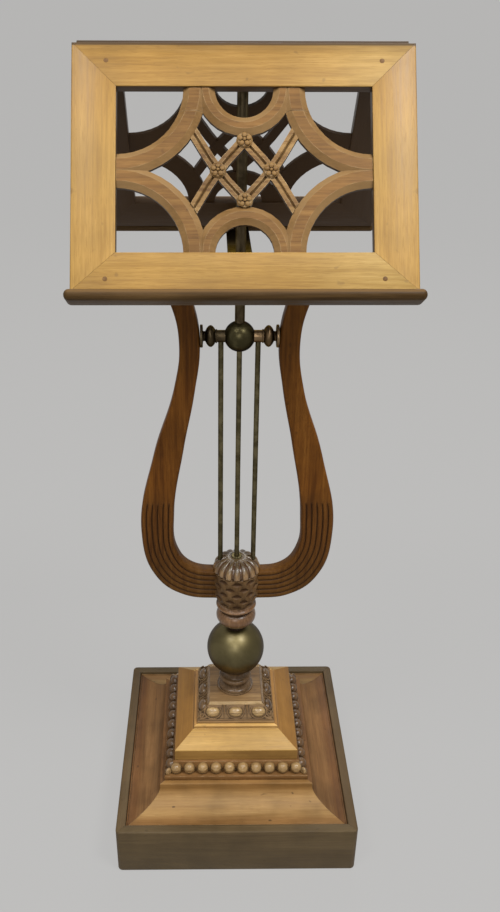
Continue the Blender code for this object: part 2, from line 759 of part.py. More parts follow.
def crossbar_mesh(ball_face, arm_face):
    """A turned spindle along +X, from its socket in the ball to a disc against the arm."""
    disc = arm_face - CROSSBAR_DISC
    ring = disc - CROSSBAR_NECK - CROSSBAR_RING / 2
    bulge = CROSSBAR_RING_RADIUS - CROSSBAR_RADIUS
    swell = [
        (CROSSBAR_RADIUS + bulge * sin(radians(30 * i)), ring + CROSSBAR_RING * (0.5 - i / 6))
        for i in range(7)
    ]
    profile = [(0, arm_face), (CROSSBAR_DISC_RADIUS - 0.001, arm_face), (CROSSBAR_DISC_RADIUS, disc + 0.002)]
    profile += [(CROSSBAR_DISC_RADIUS - 0.001, disc), (CROSSBAR_NECK_RADIUS, disc)]
    profile += [(CROSSBAR_NECK_RADIUS, ring + CROSSBAR_RING / 2 + 0.0005), *swell]
    profile += [(CROSSBAR_RADIUS, ball_face), (0, ball_face)]
    spindle = moved(turned(profile, 20), Matrix.Rotation(pi / 2, 4, "Y"))
    socket = -CROSSBAR_RADIUS + STRING_SOCKET
    hole = rod(STRING_RADIUS + RUNNING, (STRING_SPACING, 0, -0.03), (STRING_SPACING, 0, socket), SMALL_STEPS)
    return moved(cut(spindle, hole), Matrix.Translation((0, 0, crossbar_height)))


def build_lyre(parent):
    mirror = Matrix.Scale(-1, 4, (1, 0, 0))
    arm = arm_mesh()
    add("lyre_arm_left", moved(arm.copy(), mirror), oak_arm, parent)
    add("lyre_arm_right", arm, oak_arm, parent)
    ball_face = CROSSBAR_BALL_RADIUS - CROSSBAR_SOCKET
    arm_face = WAIST_WIDTH / 2 - ARM_WAIST_DEPTH - GAP
    add("crossbar_right", crossbar_mesh(ball_face + GAP, arm_face), bronze, parent)
    add("crossbar_left", moved(crossbar_mesh(ball_face + GAP, arm_face), mirror), bronze, parent)

    z = crossbar_height
    middle = Matrix.Translation((0, 0, z))
    bm = bmesh.new()
    bmesh.ops.create_uvsphere(bm, u_segments=20, v_segments=10, radius=CROSSBAR_BALL_RADIUS, matrix=middle)
    ball = bpy.data.meshes.new("ball")
    bm.to_mesh(ball)
    bm.free()
    seat = z + CROSSBAR_BALL_RADIUS - POLE_SEAT
    ball = cut(
        ball,
        rod(ROD_RADIUS + RUNNING, (0, 0, z - 0.04), (0, 0, z + 0.04), SMALL_STEPS),
        rod(POLE_RADIUS + RUNNING, (0, 0, seat), (0, 0, z + 0.04), SMALL_STEPS),
        rod(CROSSBAR_RADIUS + GAP, (ball_face, 0, z), (0.04, 0, z), 20),
        rod(CROSSBAR_RADIUS + GAP, (-0.04, 0, z), (-ball_face, 0, z), 20),
        rod(SCREW_RADIUS + RUNNING, (0, 0.001, z), (0, 0.04, z), SMALL_STEPS),
    )
    add("crossbar_ball", ball, brass_olive, parent)
    low = dome_top - 0.004 - STRING_SOCKET + GAP
    high = z - CROSSBAR_RADIUS + STRING_SOCKET - GAP
    for name, x in (("string_left", -STRING_SPACING), ("string_right", STRING_SPACING)):
        add(name, rod(STRING_RADIUS, (x, 0, low), (x, 0, high), SMALL_STEPS), bronze, parent)


def build_clamp_screw(parent):
    """A thumbscrew in the back of the crossbar ball, bearing on the rod."""
    tip = ROD_RADIUS + RUNNING
    neck = CROSSBAR_BALL_RADIUS + GAP
    knob = neck + SCREW_NECK
    end = knob + SCREW_KNOB_LENGTH
    profile = [(0, end), (SCREW_KNOB_RADIUS - 0.002, end), (SCREW_KNOB_RADIUS, end - 0.002)]
    profile += [(SCREW_KNOB_RADIUS, knob + 0.002), (SCREW_KNOB_RADIUS - 0.002, knob), (0.005, knob)]
    profile += [(0.0045, neck), (SCREW_RADIUS, neck), (SCREW_RADIUS, tip), (0, tip)]
    screw = moved(turned(profile, SMALL_STEPS), Matrix.Rotation(-pi / 2, 4, "X"))
    add("clamp_screw", screw, brass_olive, parent)


def build_rod(parent):
    low = stem_tube_bottom + GAP
    mesh = rod(ROD_RADIUS, (0, 0, low), (0, 0, socket_top - GAP), SMALL_STEPS)
    add("centre_rod", mesh, bronze, parent)


def ridge_half_width(z):
    """Half the width between the hinge leaves at a height on the ridge block's sloping sides."""
    return HINGE_SPREAD / 2 - board_inner / cos(DESK_TILT) + (RIDGE_HEIGHT - z) * tan(DESK_TILT)


def spreader_outline():
    """Side view of the spreader: a flat bar whose ends turn up along the desks' inner faces."""

    def place(inside, down):
        y = HINGE_SPREAD / 2 + inside * cos(DESK_TILT) + down * sin(DESK_TILT)
        return y, RIDGE_HEIGHT + inside * sin(DESK_TILT) - down * cos(DESK_TILT)

    face = board_inner - GAP
    back = face - SPREADER_THICKNESS
    end = ledge_bottom - SPREADER_LIFT
    low = place(face, end)[1]
    bend = (RIDGE_HEIGHT + back * sin(DESK_TILT) - low - SPREADER_THICKNESS) / cos(DESK_TILT)
    tip = end - SPREADER_TAB
    half = [place(back, bend), place(back, tip), place(face, tip), place(face, end)]
    return half + [(-y, z) for y, z in reversed(half)], low


def build_head(parent):
    """What turns with the desks: pole tube, spreader with its boss, ridge block and flange."""
    seat = crossbar_height + CROSSBAR_BALL_RADIUS - POLE_SEAT + GAP
    tube = ringed([(POLE_RADIUS, socket_top - GAP), (POLE_RADIUS, seat)], ROD_RADIUS + RUNNING)
    add("pole_tube", turned(tube, 20, ring=True), bronze, parent)

    block = [(ridge_half_width(block_top), block_top), (ridge_half_width(block_underside), block_underside)]
    block = block + [(-y, z) for y, z in reversed(block)]
    along = Matrix.Rotation(pi / 2, 4, "Z") @ FACE_FRONT
    centred = Matrix.Translation((0, 0, -RIDGE_BLOCK_LENGTH / 2))
    mesh = moved(outlined(block, RIDGE_BLOCK_LENGTH), along @ centred)
    socket = rod(POLE_RADIUS + GAP, (0, 0, block_underside - 0.01), (0, 0, socket_top), 20)
    add("ridge_block", cut(mesh, socket), oak_dark, parent)

    flange_top = block_underside - GAP
    flange_low = flange_top - FLANGE_THICKNESS
    flange = [(FLANGE_RADIUS - 0.001, flange_top), (FLANGE_RADIUS, flange_top - 0.001)]
    flange += [(FLANGE_RADIUS, flange_low), (POLE_RADIUS + 0.003, flange_low)]
    flange += [(POLE_RADIUS + 0.003, flange_low - 0.008)]
    add("head_flange", turned(ringed(flange, POLE_RADIUS + GAP), 20, ring=True), brass_olive, parent)

    outline, low = spreader_outline()
    mesh = moved(outlined(outline, SPREADER_WIDTH), along @ Matrix.Translation((0, 0, -SPREADER_WIDTH / 2)))
    hole = rod(POLE_RADIUS + GAP, (0, 0, low - 0.01), (0, 0, low + 0.02), 20)
    add("spreader_bar", cut(mesh, hole), bronze, parent)
    top = low - GAP
    boss = [(SPREADER_BOSS_RADIUS, top), (SPREADER_BOSS_RADIUS, top - 0.006)]
    boss += [(POLE_RADIUS + 0.004, top - 0.012), (POLE_RADIUS + 0.004, top - SPREADER_BOSS_HEIGHT)]
    add("spreader_boss", turned(ringed(boss, POLE_RADIUS + GAP), 20, ring=True), bronze, parent)


def hinge_leaf(side, middle, carries_pin):
    """A butt hinge leaf on one side of its axis; the leaf with the pin has the two end knuckles."""
    third = HINGE_LENGTH / 3
    near = side * HINGE_LEAF_CLEAR
    far = side * (HINGE_LEAF_CLEAR + HINGE_LEAF)
    low = (middle - HINGE_LENGTH / 2, min(near, far), -HINGE_LEAF_HEIGHT)
    high = (middle + HINGE_LENGTH / 2, max(near, far), -HINGE_BARREL_RADIUS - GAP)
    leaf = box(low, high)

    def knuckle(start, end):
        barrel = rod(HINGE_BARREL_RADIUS, (middle + start, 0, 0), (middle + end, 0, 0), SMALL_STEPS)
        tongue = box(
            (middle + start, min(near, far), -HINGE_BARREL_RADIUS - 2 * GAP),
            (middle + end, max(near, far), -HINGE_BARREL_RADIUS * 0.5),
        )
        return joined(barrel, tongue)

    if carries_pin:
        leaf = joined(leaf, knuckle(-HINGE_LENGTH / 2, -third / 2 - GAP))
        leaf = joined(leaf, knuckle(third / 2 + GAP, HINGE_LENGTH / 2))
        pin = rod(HINGE_PIN_RADIUS, (middle - third, 0, 0), (middle + third, 0, 0), SMALL_STEPS)
        return joined(leaf, pin)
    leaf = joined(leaf, knuckle(-third / 2, third / 2))
    bore = HINGE_PIN_RADIUS + RUNNING
    return cut(leaf, rod(bore, (middle - third, 0, 0), (middle + third, 0, 0), SMALL_STEPS))


def desk_board(points):
    """A frame member from its outline, seen from the front with heights below the hinge axis."""
    mesh = moved(outlined(points, DESK_THICKNESS), FACE_FRONT)
    mesh = moved(mesh, Matrix.Translation((0, -board_inner, 0)))
    return rounded(mesh, DESK_ARRIS, 1)


def frame_outlines():
    """Outlines of the four mitred members; each mitre line runs from an outer to an inner corner."""
    half = DESK_WIDTH / 2
    top = -DESK_TOP_DROP
    low = -board_bottom
    g = MITRE_GAP
    inner_top = -opening_top
    inner_low = -opening_bottom
    side = opening_half_width
    return {
        "top_rail": [(-half + g, top), (half - g, top), (side - g, inner_top), (-side + g, inner_top)],
        "bottom_rail": [(-half + g, low), (-side + g, inner_low), (side - g, inner_low), (half - g, low)],
        "left_stile": [(-half, top - g), (-side, inner_top - g), (-side, inner_low + g), (-half, low + g)],
        "right_stile": [(half, top - g), (half, low + g), (side, inner_low + g), (side, inner_top - g)],
    }


def rib_ring(outer, width, wide=1.0, at=(0, 0)):
    """A chamfered ring in the plan of the tracery, stretched sideways where the opening asks for it."""
    inner = outer - width
    ring = [
        (outer, 0),
        (inner, 0),
        (inner, TRACERY_EDGE),
        (inner + TRACERY_CHAMFER, TRACERY_THICKNESS),
        (outer - TRACERY_CHAMFER, TRACERY_THICKNESS),
        (outer, TRACERY_EDGE),
    ]
    mesh = turned(list(reversed(ring)), 48 if outer > 0.08 else 32, ring=True)
    return moved(mesh, Matrix.Translation((*at, 0)) @ Matrix.Diagonal((wide, 1, 1, 1)))


def opening_corners():
    return [(x * opening_half_width, y * opening_half_height) for x in (-1, 1) for y in (-1, 1)]


def corner_reach():
    """Outer half axes of the corner arcs, sideways and upwards."""
    return opening_half_width - ARCH_RADIUS + ARCH_OVERLAP, opening_half_height + CORNER_REACH


def tracery_plan():
    wide, high = corner_reach()
    rings = [rib_ring(high, CORNER_RIB, wide / high, at) for at in opening_corners()]
    rings += [rib_ring(ARCH_RADIUS, ARCH_RIB, 1.0, (0, y * opening_half_height)) for y in (-1, 1)]
    whole = joined(rings[0], *rings[1:])
    inside = box(
        (-opening_half_width + GAP, -opening_half_height + GAP, -0.01),
        (opening_half_width - GAP, opening_half_height - GAP, 0.05),
    )
    return kept_inside(whole, inside)


def split_tracery():
    """The crown piece carries the upper arch; the other piece holds the rest of the ribs."""
    joint = opening_half_height - CROWN_JOINT
    span = opening_half_width
    above = box((-span, joint + MITRE_GAP, -0.01), (span, opening_half_height + 0.01, 0.05))
    arch = rod(ARCH_RADIUS + GAP, (0, opening_half_height, -0.01), (0, opening_half_height, 0.05), 32)
    crown_zone = joined(above, arch)
    below = box((-span, joint - MITRE_GAP, -0.01), (span, opening_half_height + 0.01, 0.05))
    arch = rod(ARCH_RADIUS + 2 * GAP, (0, opening_half_height, -0.01), (0, opening_half_height, 0.05), 32)
    frame_zone = joined(below, arch)
    return kept_inside(tracery_plan(), crown_zone), cut(tracery_plan(), frame_zone)


def grooved_rib(points, lift):
    """A lattice rib along a curve through a few points, with a groove down its face."""
    half = LATTICE_RIB / 2
    top = LATTICE_THICKNESS
    shape = [(-half, 0), (half, 0), (half, top), (half * 0.3, top)]
    shape += [(0, top - LATTICE_GROOVE), (-half * 0.3, top), (-half, top)]
    return swept(shape, points, lift)


def lattice_plan():
    """Four curved ribs crossing under four rosettes, trimmed to the ribs that surround them."""
    wide, high = corner_reach()
    rise = opening_half_height - ARCH_RADIUS - ROSETTE_SEAT
    end_x = opening_half_width - (wide - 0.006) * cos(LATTICE_END_ANGLE)
    end_y = opening_half_height - (high - 0.006) * sin(LATTICE_END_ANGLE)
    ribs = []
    for x, y in ((-1, -1), (-1, 1), (1, -1), (1, 1)):
        through = [(x * end_x, y * end_y), (x * LATTICE_SPREAD, 0), (0, -y * rise)]
        ribs.append(grooved_rib(through, max(0, x * y) * LATTICE_LAP))
    top = LATTICE_THICKNESS + ROSETTE_RISE
    middles = [(0, rise), (0, -rise), (LATTICE_SPREAD, 0), (-LATTICE_SPREAD, 0)]
    side = [(ROSETTE_RADIUS * 0.75, top), (ROSETTE_RADIUS, top - 0.002), (ROSETTE_RADIUS, 0.002)]
    rosettes = []
    for at in middles:
        button = turned([(0, top), *side, (0, 0.002)], 12)
        rosettes.append(moved(button, Matrix.Translation((*at, 0))))
    whole = joined(ribs[0], *ribs[1:], *rosettes)
    around = []
    for x, y in opening_corners():
        disc = rod(high + GAP, (0, 0, -0.02), (0, 0, 0.05), 48)
        around.append(moved(disc, Matrix.Translation((x, y, 0)) @ Matrix.Diagonal((wide / high, 1, 1, 1))))
    for y in (-opening_half_height, opening_half_height):
        around.append(rod(ARCH_RADIUS + GAP, (0, y, -0.02), (0, y, 0.05), 32))
    return cut(whole, *around)


def ledge_mesh():
    """The music ledge under a desk's lower edge, with a bull nose."""
    half = LEDGE_THICKNESS / 2
    nose = board_outer + LEDGE_REACH - half
    middle = -board_bottom - GAP - half
    outline = [(-board_inner, middle - half), *arc((-nose, middle), half, 270, 90, 8)]
    outline += [(-board_inner, middle + half)]
    length = DESK_WIDTH + 2 * LEDGE_OVERHANG
    along = Matrix.Rotation(pi / 2, 4, "Z") @ FACE_FRONT
    return moved(outlined(outline, length), along @ Matrix.Translation((0, 0, -length / 2)))


def build_desk(name, parent, lattice, crown, frame):
    """The pieces of one desk, hung from its hinge axis."""
    for member, outline in frame_outlines().items():
        add(f"{name}_{member}", desk_board(outline), oak_desk, parent)
    back = -board_outer + TRACERY_RECESS + TRACERY_THICKNESS
    into = Matrix.Translation((0, back, -opening_middle)) @ FACE_FRONT
    add(f"{name}_tracery_crown", crown.copy(), oak_tracery, parent, into)
    add(f"{name}_tracery", frame.copy(), oak_tracery, parent, into)
    add(f"{name}_lattice", lattice.copy(), oak_lattice, parent, into)
    add(f"{name}_ledge", ledge_mesh(), oak_dark, parent)


def build_desks(head):
    crown, frame = split_tracery()
    lattice = lattice_plan()
    for name, turn in (("front", 0), ("rear", pi)):
        side = axis_empty(f"{name}_side", (0, 0, 0), (0, 0, turn), head)
        middle = (0, -HINGE_SPREAD / 2, RIDGE_HEIGHT)
        hinge = axis_empty(f"{name}_hinge_axis", middle, (-DESK_TILT, 0, 0), side)
        build_desk(name, hinge, lattice, crown, frame)
        for place, x in (("left", -HINGE_SPACING), ("right", HINGE_SPACING)):
            add(f"{name}_hinge_{place}_fixed", hinge_leaf(1, x, True), brass_olive, hinge)
            add(f"{name}_hinge_{place}_moving", hinge_leaf(-1, x, False), brass_olive, hinge)


clear_scene()
stand = collection_named("duet_stand")
cutters = collection_named("cutters")
oak_dark = finish("dark_oak", (0.09, 0.062, 0.036), 0.5)
oak_warm = finish("warm_oak", (0.28, 0.15, 0.062), 0.45)
oak_gold = finish("golden_oak", (0.43, 0.26, 0.09), 0.4)
oak_carved = finish("carved_oak", (0.17, 0.095, 0.045), 0.45)
oak_red = finish("red_oak", (0.26, 0.12, 0.055), 0.35)
oak_arm = finish("arm_oak", (0.19, 0.08, 0.022), 0.42)
oak_desk = finish("desk_oak", (0.5, 0.31, 0.12), 0.42)
oak_tracery = finish("tracery_oak", (0.34, 0.2, 0.095), 0.45)
oak_lattice = finish("lattice_oak", (0.4, 0.26, 0.14), 0.45)
brass_olive = finish("olive_brass", (0.19, 0.15, 0.05), 0.35, 1.0)
bronze = finish("dark_bronze", (0.07, 0.055, 0.03), 0.4, 1.0)
iron = finish("iron", (0.09, 0.085, 0.08), 0.55, 1.0)

base = axis_empty("base_axis", (0, 0, 0))
screw_axis = axis_empty("clamp_screw_axis", (0, 0, crossbar_height), (0, 0, 0), base)
rod_axis = axis_empty("rod_axis", (0, 0, 0), (0, 0, 0), base)
head_axis = axis_empty("head_axis", (0, 0, 0), (0, 0, 0), rod_axis)
build_plinth(base)
build_tiers(base)
build_stem(base)
build_lyre(base)
build_clamp_screw(screw_axis)
build_rod(rod_axis)
build_head(head_axis)
build_desks(head_axis)
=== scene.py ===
from math import cos, pi, radians, sin, sqrt

import bmesh
import bpy
from mathutils import Matrix, Vector


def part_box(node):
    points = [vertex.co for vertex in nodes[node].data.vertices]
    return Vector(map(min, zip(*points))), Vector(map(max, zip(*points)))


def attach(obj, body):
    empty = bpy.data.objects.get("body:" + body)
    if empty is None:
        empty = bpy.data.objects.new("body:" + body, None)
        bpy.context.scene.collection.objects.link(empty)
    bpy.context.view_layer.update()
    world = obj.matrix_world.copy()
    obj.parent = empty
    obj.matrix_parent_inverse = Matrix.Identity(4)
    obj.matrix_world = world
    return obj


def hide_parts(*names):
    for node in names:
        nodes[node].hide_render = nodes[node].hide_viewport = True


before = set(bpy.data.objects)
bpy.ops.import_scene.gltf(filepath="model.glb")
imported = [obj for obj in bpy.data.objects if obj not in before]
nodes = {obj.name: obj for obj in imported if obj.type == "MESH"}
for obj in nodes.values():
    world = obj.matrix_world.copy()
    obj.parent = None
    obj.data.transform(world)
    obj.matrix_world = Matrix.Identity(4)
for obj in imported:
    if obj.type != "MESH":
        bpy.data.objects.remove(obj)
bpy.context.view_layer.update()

scene = bpy.context.scene
scene.view_settings.view_transform = "Standard"

cameraPlace = {
    "lens": 34.63,
    "sensor": 36,
    "location": (-0.0456, -1.3787, 1.5407),
    "pitch": 28.465,   # degrees below level
    "yaw": 0.725,
    "roll": 0.2,
    "shift": (0.0305, 0.0072),
}


def placeCamera(place):
    lens = bpy.data.cameras.new("photoCamera")
    lens.lens = place["lens"]
    lens.sensor_width = place["sensor"]
    lens.shift_x, lens.shift_y = place["shift"]
    camera = bpy.data.objects.new("photoCamera", lens)
    turn = (Matrix.Rotation(-radians(place["yaw"]), 4, "Z")
            @ Matrix.Rotation(pi / 2 - radians(place["pitch"]), 4, "X"))
    turn = turn @ Matrix.Rotation(radians(place["roll"]), 4, "Z")
    camera.matrix_world = Matrix.Translation(place["location"]) @ turn
    scene.collection.objects.link(camera)
    scene.camera = camera


placeCamera(cameraPlace)
print("camera placed")


# node tools: each returns the output socket that the next one reads
def startPaint(name):
    paint = bpy.data.materials.new(name)
    paint.use_nodes = True
    return paint, paint.node_tree, paint.node_tree.nodes["Principled BSDF"]


def setInputs(tree, node, inputs):
    # an output socket is linked, any other value is set
    for key, value in inputs.items():
        socket = node.inputs[key]
        if isinstance(value, bpy.types.NodeSocket):
            tree.links.new(value, socket)
        else:
            socket.default_value = (*value, 1) if socket.type == "RGBA" else value


def addNode(tree, kind, inputs):
    node = tree.nodes.new(f"ShaderNode{kind}")
    setInputs(tree, node, inputs)
    return node


def split(tree, vector):
    return addNode(tree, "SeparateXYZ", {0: vector}).outputs


def objectPoint(tree):
    return tree.nodes.new("ShaderNodeTexCoord").outputs["Object"]


def faceNormal(tree):
    return split(tree, tree.nodes.new("ShaderNodeTexCoord").outputs["Normal"])


def mapped(tree, vector, scale=(1, 1, 1), turn=(0, 0, 0)):
    inputs = {"Vector": vector, "Scale": scale, "Rotation": [radians(a) for a in turn]}
    return addNode(tree, "Mapping", inputs).outputs["Vector"]


def noise(tree, vector, scale, detail=4.0, rough=0.55, distort=0.0):
    inputs = {"Vector": vector, "Scale": scale, "Detail": detail, "Roughness": rough, "Distortion": distort}
    return addNode(tree, "TexNoise", inputs).outputs["Fac"]


def ranged(tree, value, low, high, toLow=0.0, toHigh=1.0):
    inputs = {"Value": value, "From Min": low, "From Max": high, "To Min": toLow, "To Max": toHigh}
    node = addNode(tree, "MapRange", inputs)
    node.interpolation_type = "SMOOTHSTEP"
    return node.outputs["Result"]


def sums(tree, kind, a, b=0.0):
    node = addNode(tree, "Math", {0: a, 1: b})
    node.operation = kind
    return node.outputs[0]


def times(tree, a, b):
    return sums(tree, "MULTIPLY", a, b)


def blended(tree, share, a, b, kind="MIX"):
    node = tree.nodes.new("ShaderNodeMix")
    node.data_type = "RGBA"
    node.blend_type = kind
    setInputs(tree, node, {0: share, 6: a, 7: b})
    return node.outputs[2]


def tinted(tree, share, colour, tint):
    return blended(tree, share, colour, blended(tree, 1.0, colour, tint, "MULTIPLY"))


def edgeMask(tree, radius, flat=0.995, sharp=0.86):
    # 1 on arrises, 0 on flats and in smooth curves
    soft = addNode(tree, "Bevel", {"Radius": radius})
    soft.samples = 4
    true = tree.nodes.new("ShaderNodeNewGeometry")
    dot = addNode(tree, "VectorMath", {0: soft.outputs["Normal"], 1: true.outputs["Normal"]})
    dot.operation = "DOT_PRODUCT"
    return ranged(tree, dot.outputs["Value"], sharp, flat, 1.0, 0.0), soft.outputs["Normal"]


def dirtAndShadeMask(tree, reach, closed=0.35, clear=0.95):
    # 1 deep in grooves and corners of the piece itself, where dirt lies and painted shade goes
    node = addNode(tree, "AmbientOcclusion", {"Distance": reach})
    node.only_local = True
    node.samples = 6
    return ranged(tree, node.outputs["AO"], closed, clear, 1.0, 0.0)


alongSide = (0, 0, 90)      # grain along Y
upright = (0, 90, 0)        # grain along Z
downDesk = (-32, 90, 0)     # grain down the slope of a desk
deskOut = {"Y": 0.848, "Z": 0.53}      # the way that a desk's face looks, out from the ridge


def outward(tree):
    # how far a face of a desk looks away from the other desk
    normal = faceNormal(tree)
    side = sums(tree, "SIGN", split(tree, objectPoint(tree))["Y"])
    level = times(tree, side, times(tree, normal["Y"], deskOut["Y"]))
    return sums(tree, "ADD", level, times(tree, normal["Z"], deskOut["Z"]))


def grainPoint(tree, look):
    # turns the point so that the grain runs along X, and says which faces belong to the side lengths
    point = objectPoint(tree)
    if look.get("mirrored"):   # both desks slope away from the ridge
        node = addNode(tree, "VectorMath", {0: point})
        node.operation = "ABSOLUTE"
        point = node.outputs["Vector"]
    along = mapped(tree, point, turn=look.get("turn", (0, 0, 0)))
    if not look.get("mitred"):
        return along, None
    # four mitred lengths: the side lengths run the other way
    across = mapped(tree, point, turn=alongSide)
    place = split(tree, point)
    sides = sums(tree, "GREATER_THAN", sums(tree, "ABSOLUTE", place["X"]), sums(tree, "ABSOLUTE", place["Y"]))
    pick = tree.nodes.new("ShaderNodeMix")
    pick.data_type = "VECTOR"
    setInputs(tree, pick, {0: sides, 4: along, 5: across})
    return pick.outputs[1], sides


# figure of the oak: scales along and across the grain, and the range of each noise that shows
grain = {
    "broad": (2.2, 30, 30), "streak": (11, 260, 260), "pore": (55, 900, 900), "spot": (60, 90, 90),
    "cloud": 9.0, "patch": 55.0,
    "toMiddle": (0.34, 0.53), "toPale": (0.5, 0.68), "toPore": (0.55, 0.66), "toSpot": (0.72, 0.79),
    "toCloud": (0.3, 0.7), "toPatch": (0.36, 0.62), "toRough": (0.3, 0.72), "rough": (0.4, 0.58),
    "poreDepth": 0.8, "bump": 0.2, "bumpHigh": 0.001, "coatRough": 0.3,
}
# which faces and heights take a tone of their own: painted light on tops, painted shade on standing faces,
# desk backs and the ridge edge, wear and painted sheen on chamfers
faceRange = {
    "standing": (0.45, 0.2), "litTopFacing": (0.6, 0.9), "litTopShare": 0.7,
    "chamferOut": (0.93, 0.84), "chamferIn": (0.45, 0.6), "chamferCloud": (0.3, 0.65, 0.2, 0.75),
    "inner": (0.42, 0.16), "ridgeTop": (0.6, 0.8), "ridgeLevel": (1.458, 1.4625),
    "ridgeEdge": (1.468, 1.4704), "ridgeShadeShare": 0.9,
}


def oak(name, look):
    paint, tree, shader = startPaint(name)
    point, sides = grainPoint(tree, look)
    size = look.get("figure", 1.0)
    broad = noise(tree, mapped(tree, point, tuple(scale * size for scale in grain["broad"])),
                  1.0, 3.0, 0.5, 0.9)
    streak = noise(tree, mapped(tree, point, grain["streak"]), 1.0, 4.0, 0.62, 0.25)
    pore = noise(tree, mapped(tree, point, grain["pore"]), 1.0, 2.0, 0.5)
    cloud = noise(tree, point, grain["cloud"], 3.0, 0.6)
    wide = look.get("broad", 0.5)
    figure = sums(tree, "ADD", times(tree, broad, wide), times(tree, streak, 1 - wide))
    colour = blended(tree, ranged(tree, figure, *grain["toMiddle"]), look["deep"], look["middle"])
    colour = blended(tree, ranged(tree, figure, *grain["toPale"]), colour, look["pale"])
    pores = times(tree, ranged(tree, pore, *grain["toPore"]), look.get("pores", 0.45))
    colour = blended(tree, pores, colour, look["deep"])
    uneven = look.get("cloud", 0.14)
    shade = ranged(tree, cloud, *grain["toCloud"], 1.0 - uneven, 1.0 + uneven)
    gray = addNode(tree, "CombineColor", {0: shade, 1: shade, 2: shade})
    colour = blended(tree, 1.0, colour, gray.outputs[0], "MULTIPLY")
    spots = noise(tree, mapped(tree, point, grain["spot"]), 1.0, 1.0, 0.4)
    marks = times(tree, ranged(tree, spots, *grain["toSpot"]), look.get("spots", 0.3))
    colour = blended(tree, marks, colour, look["grimeAndShade"])
    if "sideShadeTint" in look:     # side lengths of a mitred piece, in painted shade
        colour = tinted(tree, sides, colour, look["sideShadeTint"])
    if "uprightDirtAndShadeTint" in look:  # standing faces darker than slopes: painted shade, with some dirt
        level = sums(tree, "ABSOLUTE", faceNormal(tree)["Z"])
        colour = tinted(tree, ranged(tree, level, *faceRange["standing"]), colour, look["uprightDirtAndShadeTint"])
    for axis, key in (("Z", "fades"), ("X", "sheenAndShadeAcross")):
        for start, end, tint in look.get(key, ()):      # places between which the wood's tone shifts; some shifts are painted shade, painted highlight or painted sheen
            share = ranged(tree, split(tree, objectPoint(tree))[axis], start, end)
            colour = tinted(tree, share, colour, tint)
    if "litTopTone" in look:       # tops made paler: painted light
        litTopShare = times(tree, ranged(tree, faceNormal(tree)["Z"], *faceRange["litTopFacing"]),
                       faceRange["litTopShare"])
        colour = blended(tree, litTopShare, colour, look["litTopTone"])
    wear, softNormal = edgeMask(tree, look.get("edge", 0.0022), *look.get("arris", ()))
    patchy = ranged(tree, noise(tree, point, grain["patch"], 3.0), *grain["toPatch"])
    worn = times(tree, times(tree, wear, patchy), look.get("wear", 0.5))
    colour = blended(tree, worn, colour, look["worn"])
    # grime and painted shade in the piece's own grooves and corners
    dirtAndShade = times(tree, dirtAndShadeMask(tree, look.get("reach", 0.014)), look.get("dirtAndShade", 0.7))
    colour = blended(tree, dirtAndShade, colour, look["grimeAndShade"])
    if "hollowDirtAndShadeTone" in look:   # dirt and painted shade in cut hollows and round seats, marked on the mesh
        cutIn = tree.nodes.new("ShaderNodeAttribute")
        cutIn.attribute_name = "carved"
        colour = blended(tree, cutIn.outputs["Fac"], colour, look["hollowDirtAndShadeTone"])
    if "chamferWearAndSheenTone" in look:  # slopes either side of a band made paler: wear and painted sheen
        out = outward(tree)
        slope = times(tree, ranged(tree, out, *faceRange["chamferOut"]),
                      ranged(tree, out, *faceRange["chamferIn"]))
        slope = times(tree, slope, ranged(tree, cloud, *faceRange["chamferCloud"]))
        colour = blended(tree, slope, colour, look["chamferWearAndSheenTone"])
    if "innerShadeTone" in look:    # unpolished backs and edges of the desks, dark stained, with painted shade
        colour = blended(tree, ranged(tree, outward(tree), *faceRange["inner"]), colour, look["innerShadeTone"])
    if "ridgeShadeTone" in look:    # painted shade along the top edge at the ridge
        height = split(tree, objectPoint(tree))["Z"]
        up = ranged(tree, faceNormal(tree)["Z"], *faceRange["ridgeTop"])
        top = times(tree, up, ranged(tree, height, *faceRange["ridgeLevel"]))
        top = sums(tree, "MAXIMUM", top, ranged(tree, height, *faceRange["ridgeEdge"]))
        colour = blended(tree, times(tree, top, faceRange["ridgeShadeShare"]), colour, look["ridgeShadeTone"])
    relief = sums(tree, "SUBTRACT", streak, times(tree, pores, grain["poreDepth"]))
    bump = addNode(tree, "Bump", {"Strength": grain["bump"], "Distance": grain["bumpHigh"], "Height": relief})
    if not look.get("crisp"):  # small carving keeps its own normals
        setInputs(tree, bump, {"Normal": softNormal})
    setInputs(tree, shader, {
        "Base Color": colour, "Normal": bump.outputs["Normal"],
        "Roughness": ranged(tree, streak, *grain["toRough"], *look.get("rough", grain["rough"])),
        "Specular IOR Level": look.get("shine", 0.3), "Coat Weight": look.get("polish", 0.0),
        "Coat Roughness": grain["coatRough"],
    })
    return paint


patina = {
    "patch": 38.0, "fine": 420.0, "toBright": (0.38, 0.66), "toSpeck": (0.58, 0.74), "specks": 0.45,
    "edge": 0.0012, "wear": 0.5, "reach": 0.008, "dirtAndShade": 0.7, "toRough": (0.3, 0.7), "bump": 0.12,
    "bumpHigh": 0.0006, "edgeTint": (0.45, 0.4, 0.28), "coatRough": 0.36,
}


